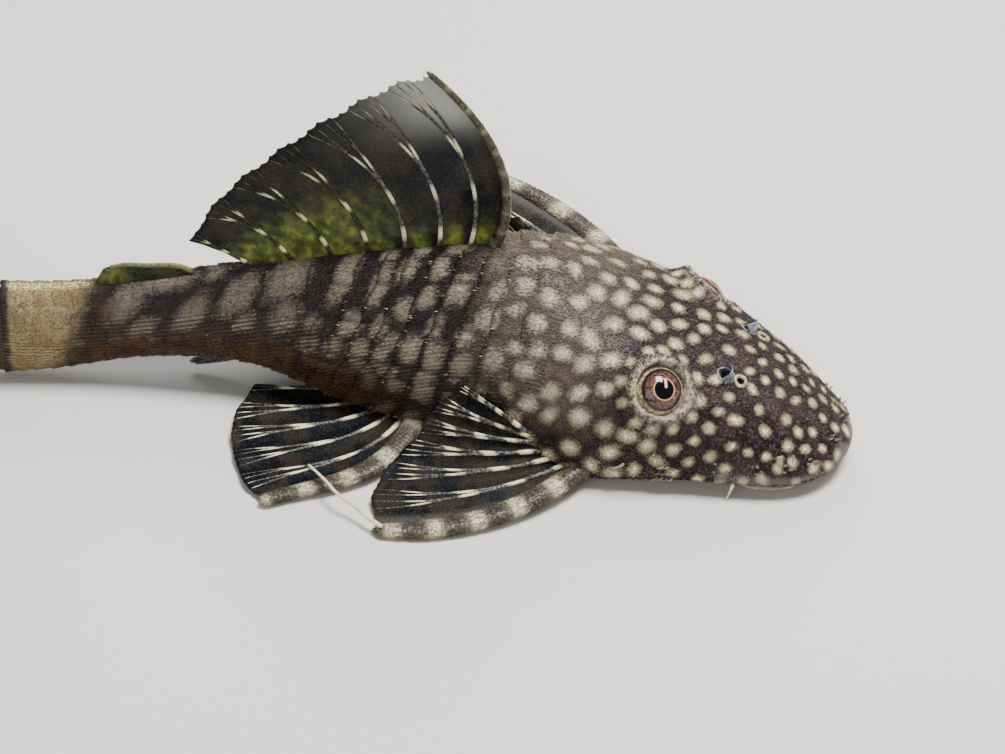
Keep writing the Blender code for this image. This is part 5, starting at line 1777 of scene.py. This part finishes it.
def make_adipose():
    """A low fin behind the dorsal one, with one small spine along its upper edge."""
    top = row_curve([(0, 66.4, 12.0), (0.15, 67.6, 12.7), (0.5, 70.9, 12.9), (0.85, 74.2, 12.8),
                     (0.95, 75.4, 12.3), (1, 76.0, 11.0)])
    share = np.linspace(0, 1, 50)
    s, height = top(share).T
    low = np.maximum(back_height(s) - 0.7, 0)
    rows = np.linspace(0, 1, 8)[:, None]
    z = low + (height - low) * rows
    half = 0.28 * (1 - rows) + 0.1 + 0 * z
    faces_of = [place(s + 0 * z, side * half, z) for side in (1, -1)]
    rings = np.concatenate([faces_of[0], faces_of[1][::-1]]).swapaxes(0, 1)
    points, faces = closed_rings(rings)
    pale = on_rings(0.45 * bump(s, 74.5, 1.2) + 0.12, rings.shape[1])
    numbers = {"clear": 0 * pale, "pale": pale, "ashy": 0 * pale}
    keep(make_piece("adipose_film", points, faces, FILM, numbers), "fin_membrane", "adipose_fin")
    s, height = top(np.linspace(0.02, 0.88, 24)).T
    wide, thick = np.linspace(0.3, 0.22, len(s)), np.linspace(0.26, 0.2, len(s))
    rings = tube(place(s, 0, height), wide, thick, (0, 1, 0), 10)
    dashed_tube("adipose_spine", rings, np.full(len(s), 0.45), np.linspace(0, 9, len(s)), OLIVE_BONE)


def make_filament():
    """A loose pale thread that curls back from the tip of the right pectoral spine."""
    v = np.linspace(0, 1, 40)
    bow = 4 * v * (1 - v)
    wave = 0.22 * np.sin(13 * v)
    path = place(45.0 + 9.0 * v + wave, -24.0 + 6.6 * v - 0.9 * bow, 0.8 + 1.5 * v**0.7 + 0.4 * wave)
    rings = tube(path, 0.24 - 0.12 * v, 0.24 - 0.12 * v, (0, 0, 1), 8)
    dashed_tube("pectoral_filament", rings, np.full(len(v), 0.95), 12 * v, BONE)


make_dorsal()
make_pectoral("right", RIGHT, 0, 0.0, 3.0, 1.0)
make_pectoral("left", LEFT, 17, 0.2, 1.5, 0.0)
make_pelvic("right", RIGHT, 0)
make_pelvic("left", LEFT, 4)
make_tail_fin()
make_anal()
make_adipose()
make_filament()

# %% [markdown]
# The stage.
#
# A plain pale floor and big soft lamps, as a museum's photographer would set them: one broad
# light above and ahead, a weaker one from the camera's side, and a pale sky all round.

# %% Floor and light
FLOOR_SIZE = 4000.0
FLOOR_HEIGHT = -0.02


def make_floor():
    half = FLOOR_SIZE / 2
    signs = ((-1, -1), (1, -1), (1, 1), (-1, 1))
    corners = [(across * half, along * half, FLOOR_HEIGHT) for across, along in signs]
    material, tree, shader = new_material("matt_paper", Roughness=0.85)
    coat(tree, shader, mixed(tree, grain(tree, 60, detail=1.0), paint("#dad7d1"), paint("#e0ddd8")))
    floor = make_piece("floor", corners, [(0, 1, 2, 3)], material, smooth=False)


def make_lamp(name, spot, size, power):
    """A square soft lamp that faces the fish. Places are in millimetres."""
    data = bpy.data.lights.new(name, "AREA")
    data.shape = "SQUARE"
    data.size = size * MM
    data.energy = power
    lamp = bpy.data.objects.new(name, data)
    lamp.location = [c * MM for c in spot]
    bpy.context.scene.collection.objects.link(lamp)
    toward = lamp.location.copy()
    toward.z -= 0.01
    lamp.rotation_euler = toward.to_track_quat("Z", "Y").to_euler()


def make_sky():
    world = bpy.data.worlds.new("pale_sky")
    world.use_nodes = True
    world.node_tree.nodes["Background"].inputs["Color"].default_value = paint("#e9edf2")
    world.node_tree.nodes["Background"].inputs["Strength"].default_value = 0.3
    bpy.context.scene.world = world


make_floor()
make_lamp("key_lamp", (90, 10, 330), 130, 2.3)
make_lamp("fill_lamp", (-120, -340, 180), 260, 0.45)
make_lamp("rim_lamp", (-60, 300, 240), 180, 0.9)
make_sky()
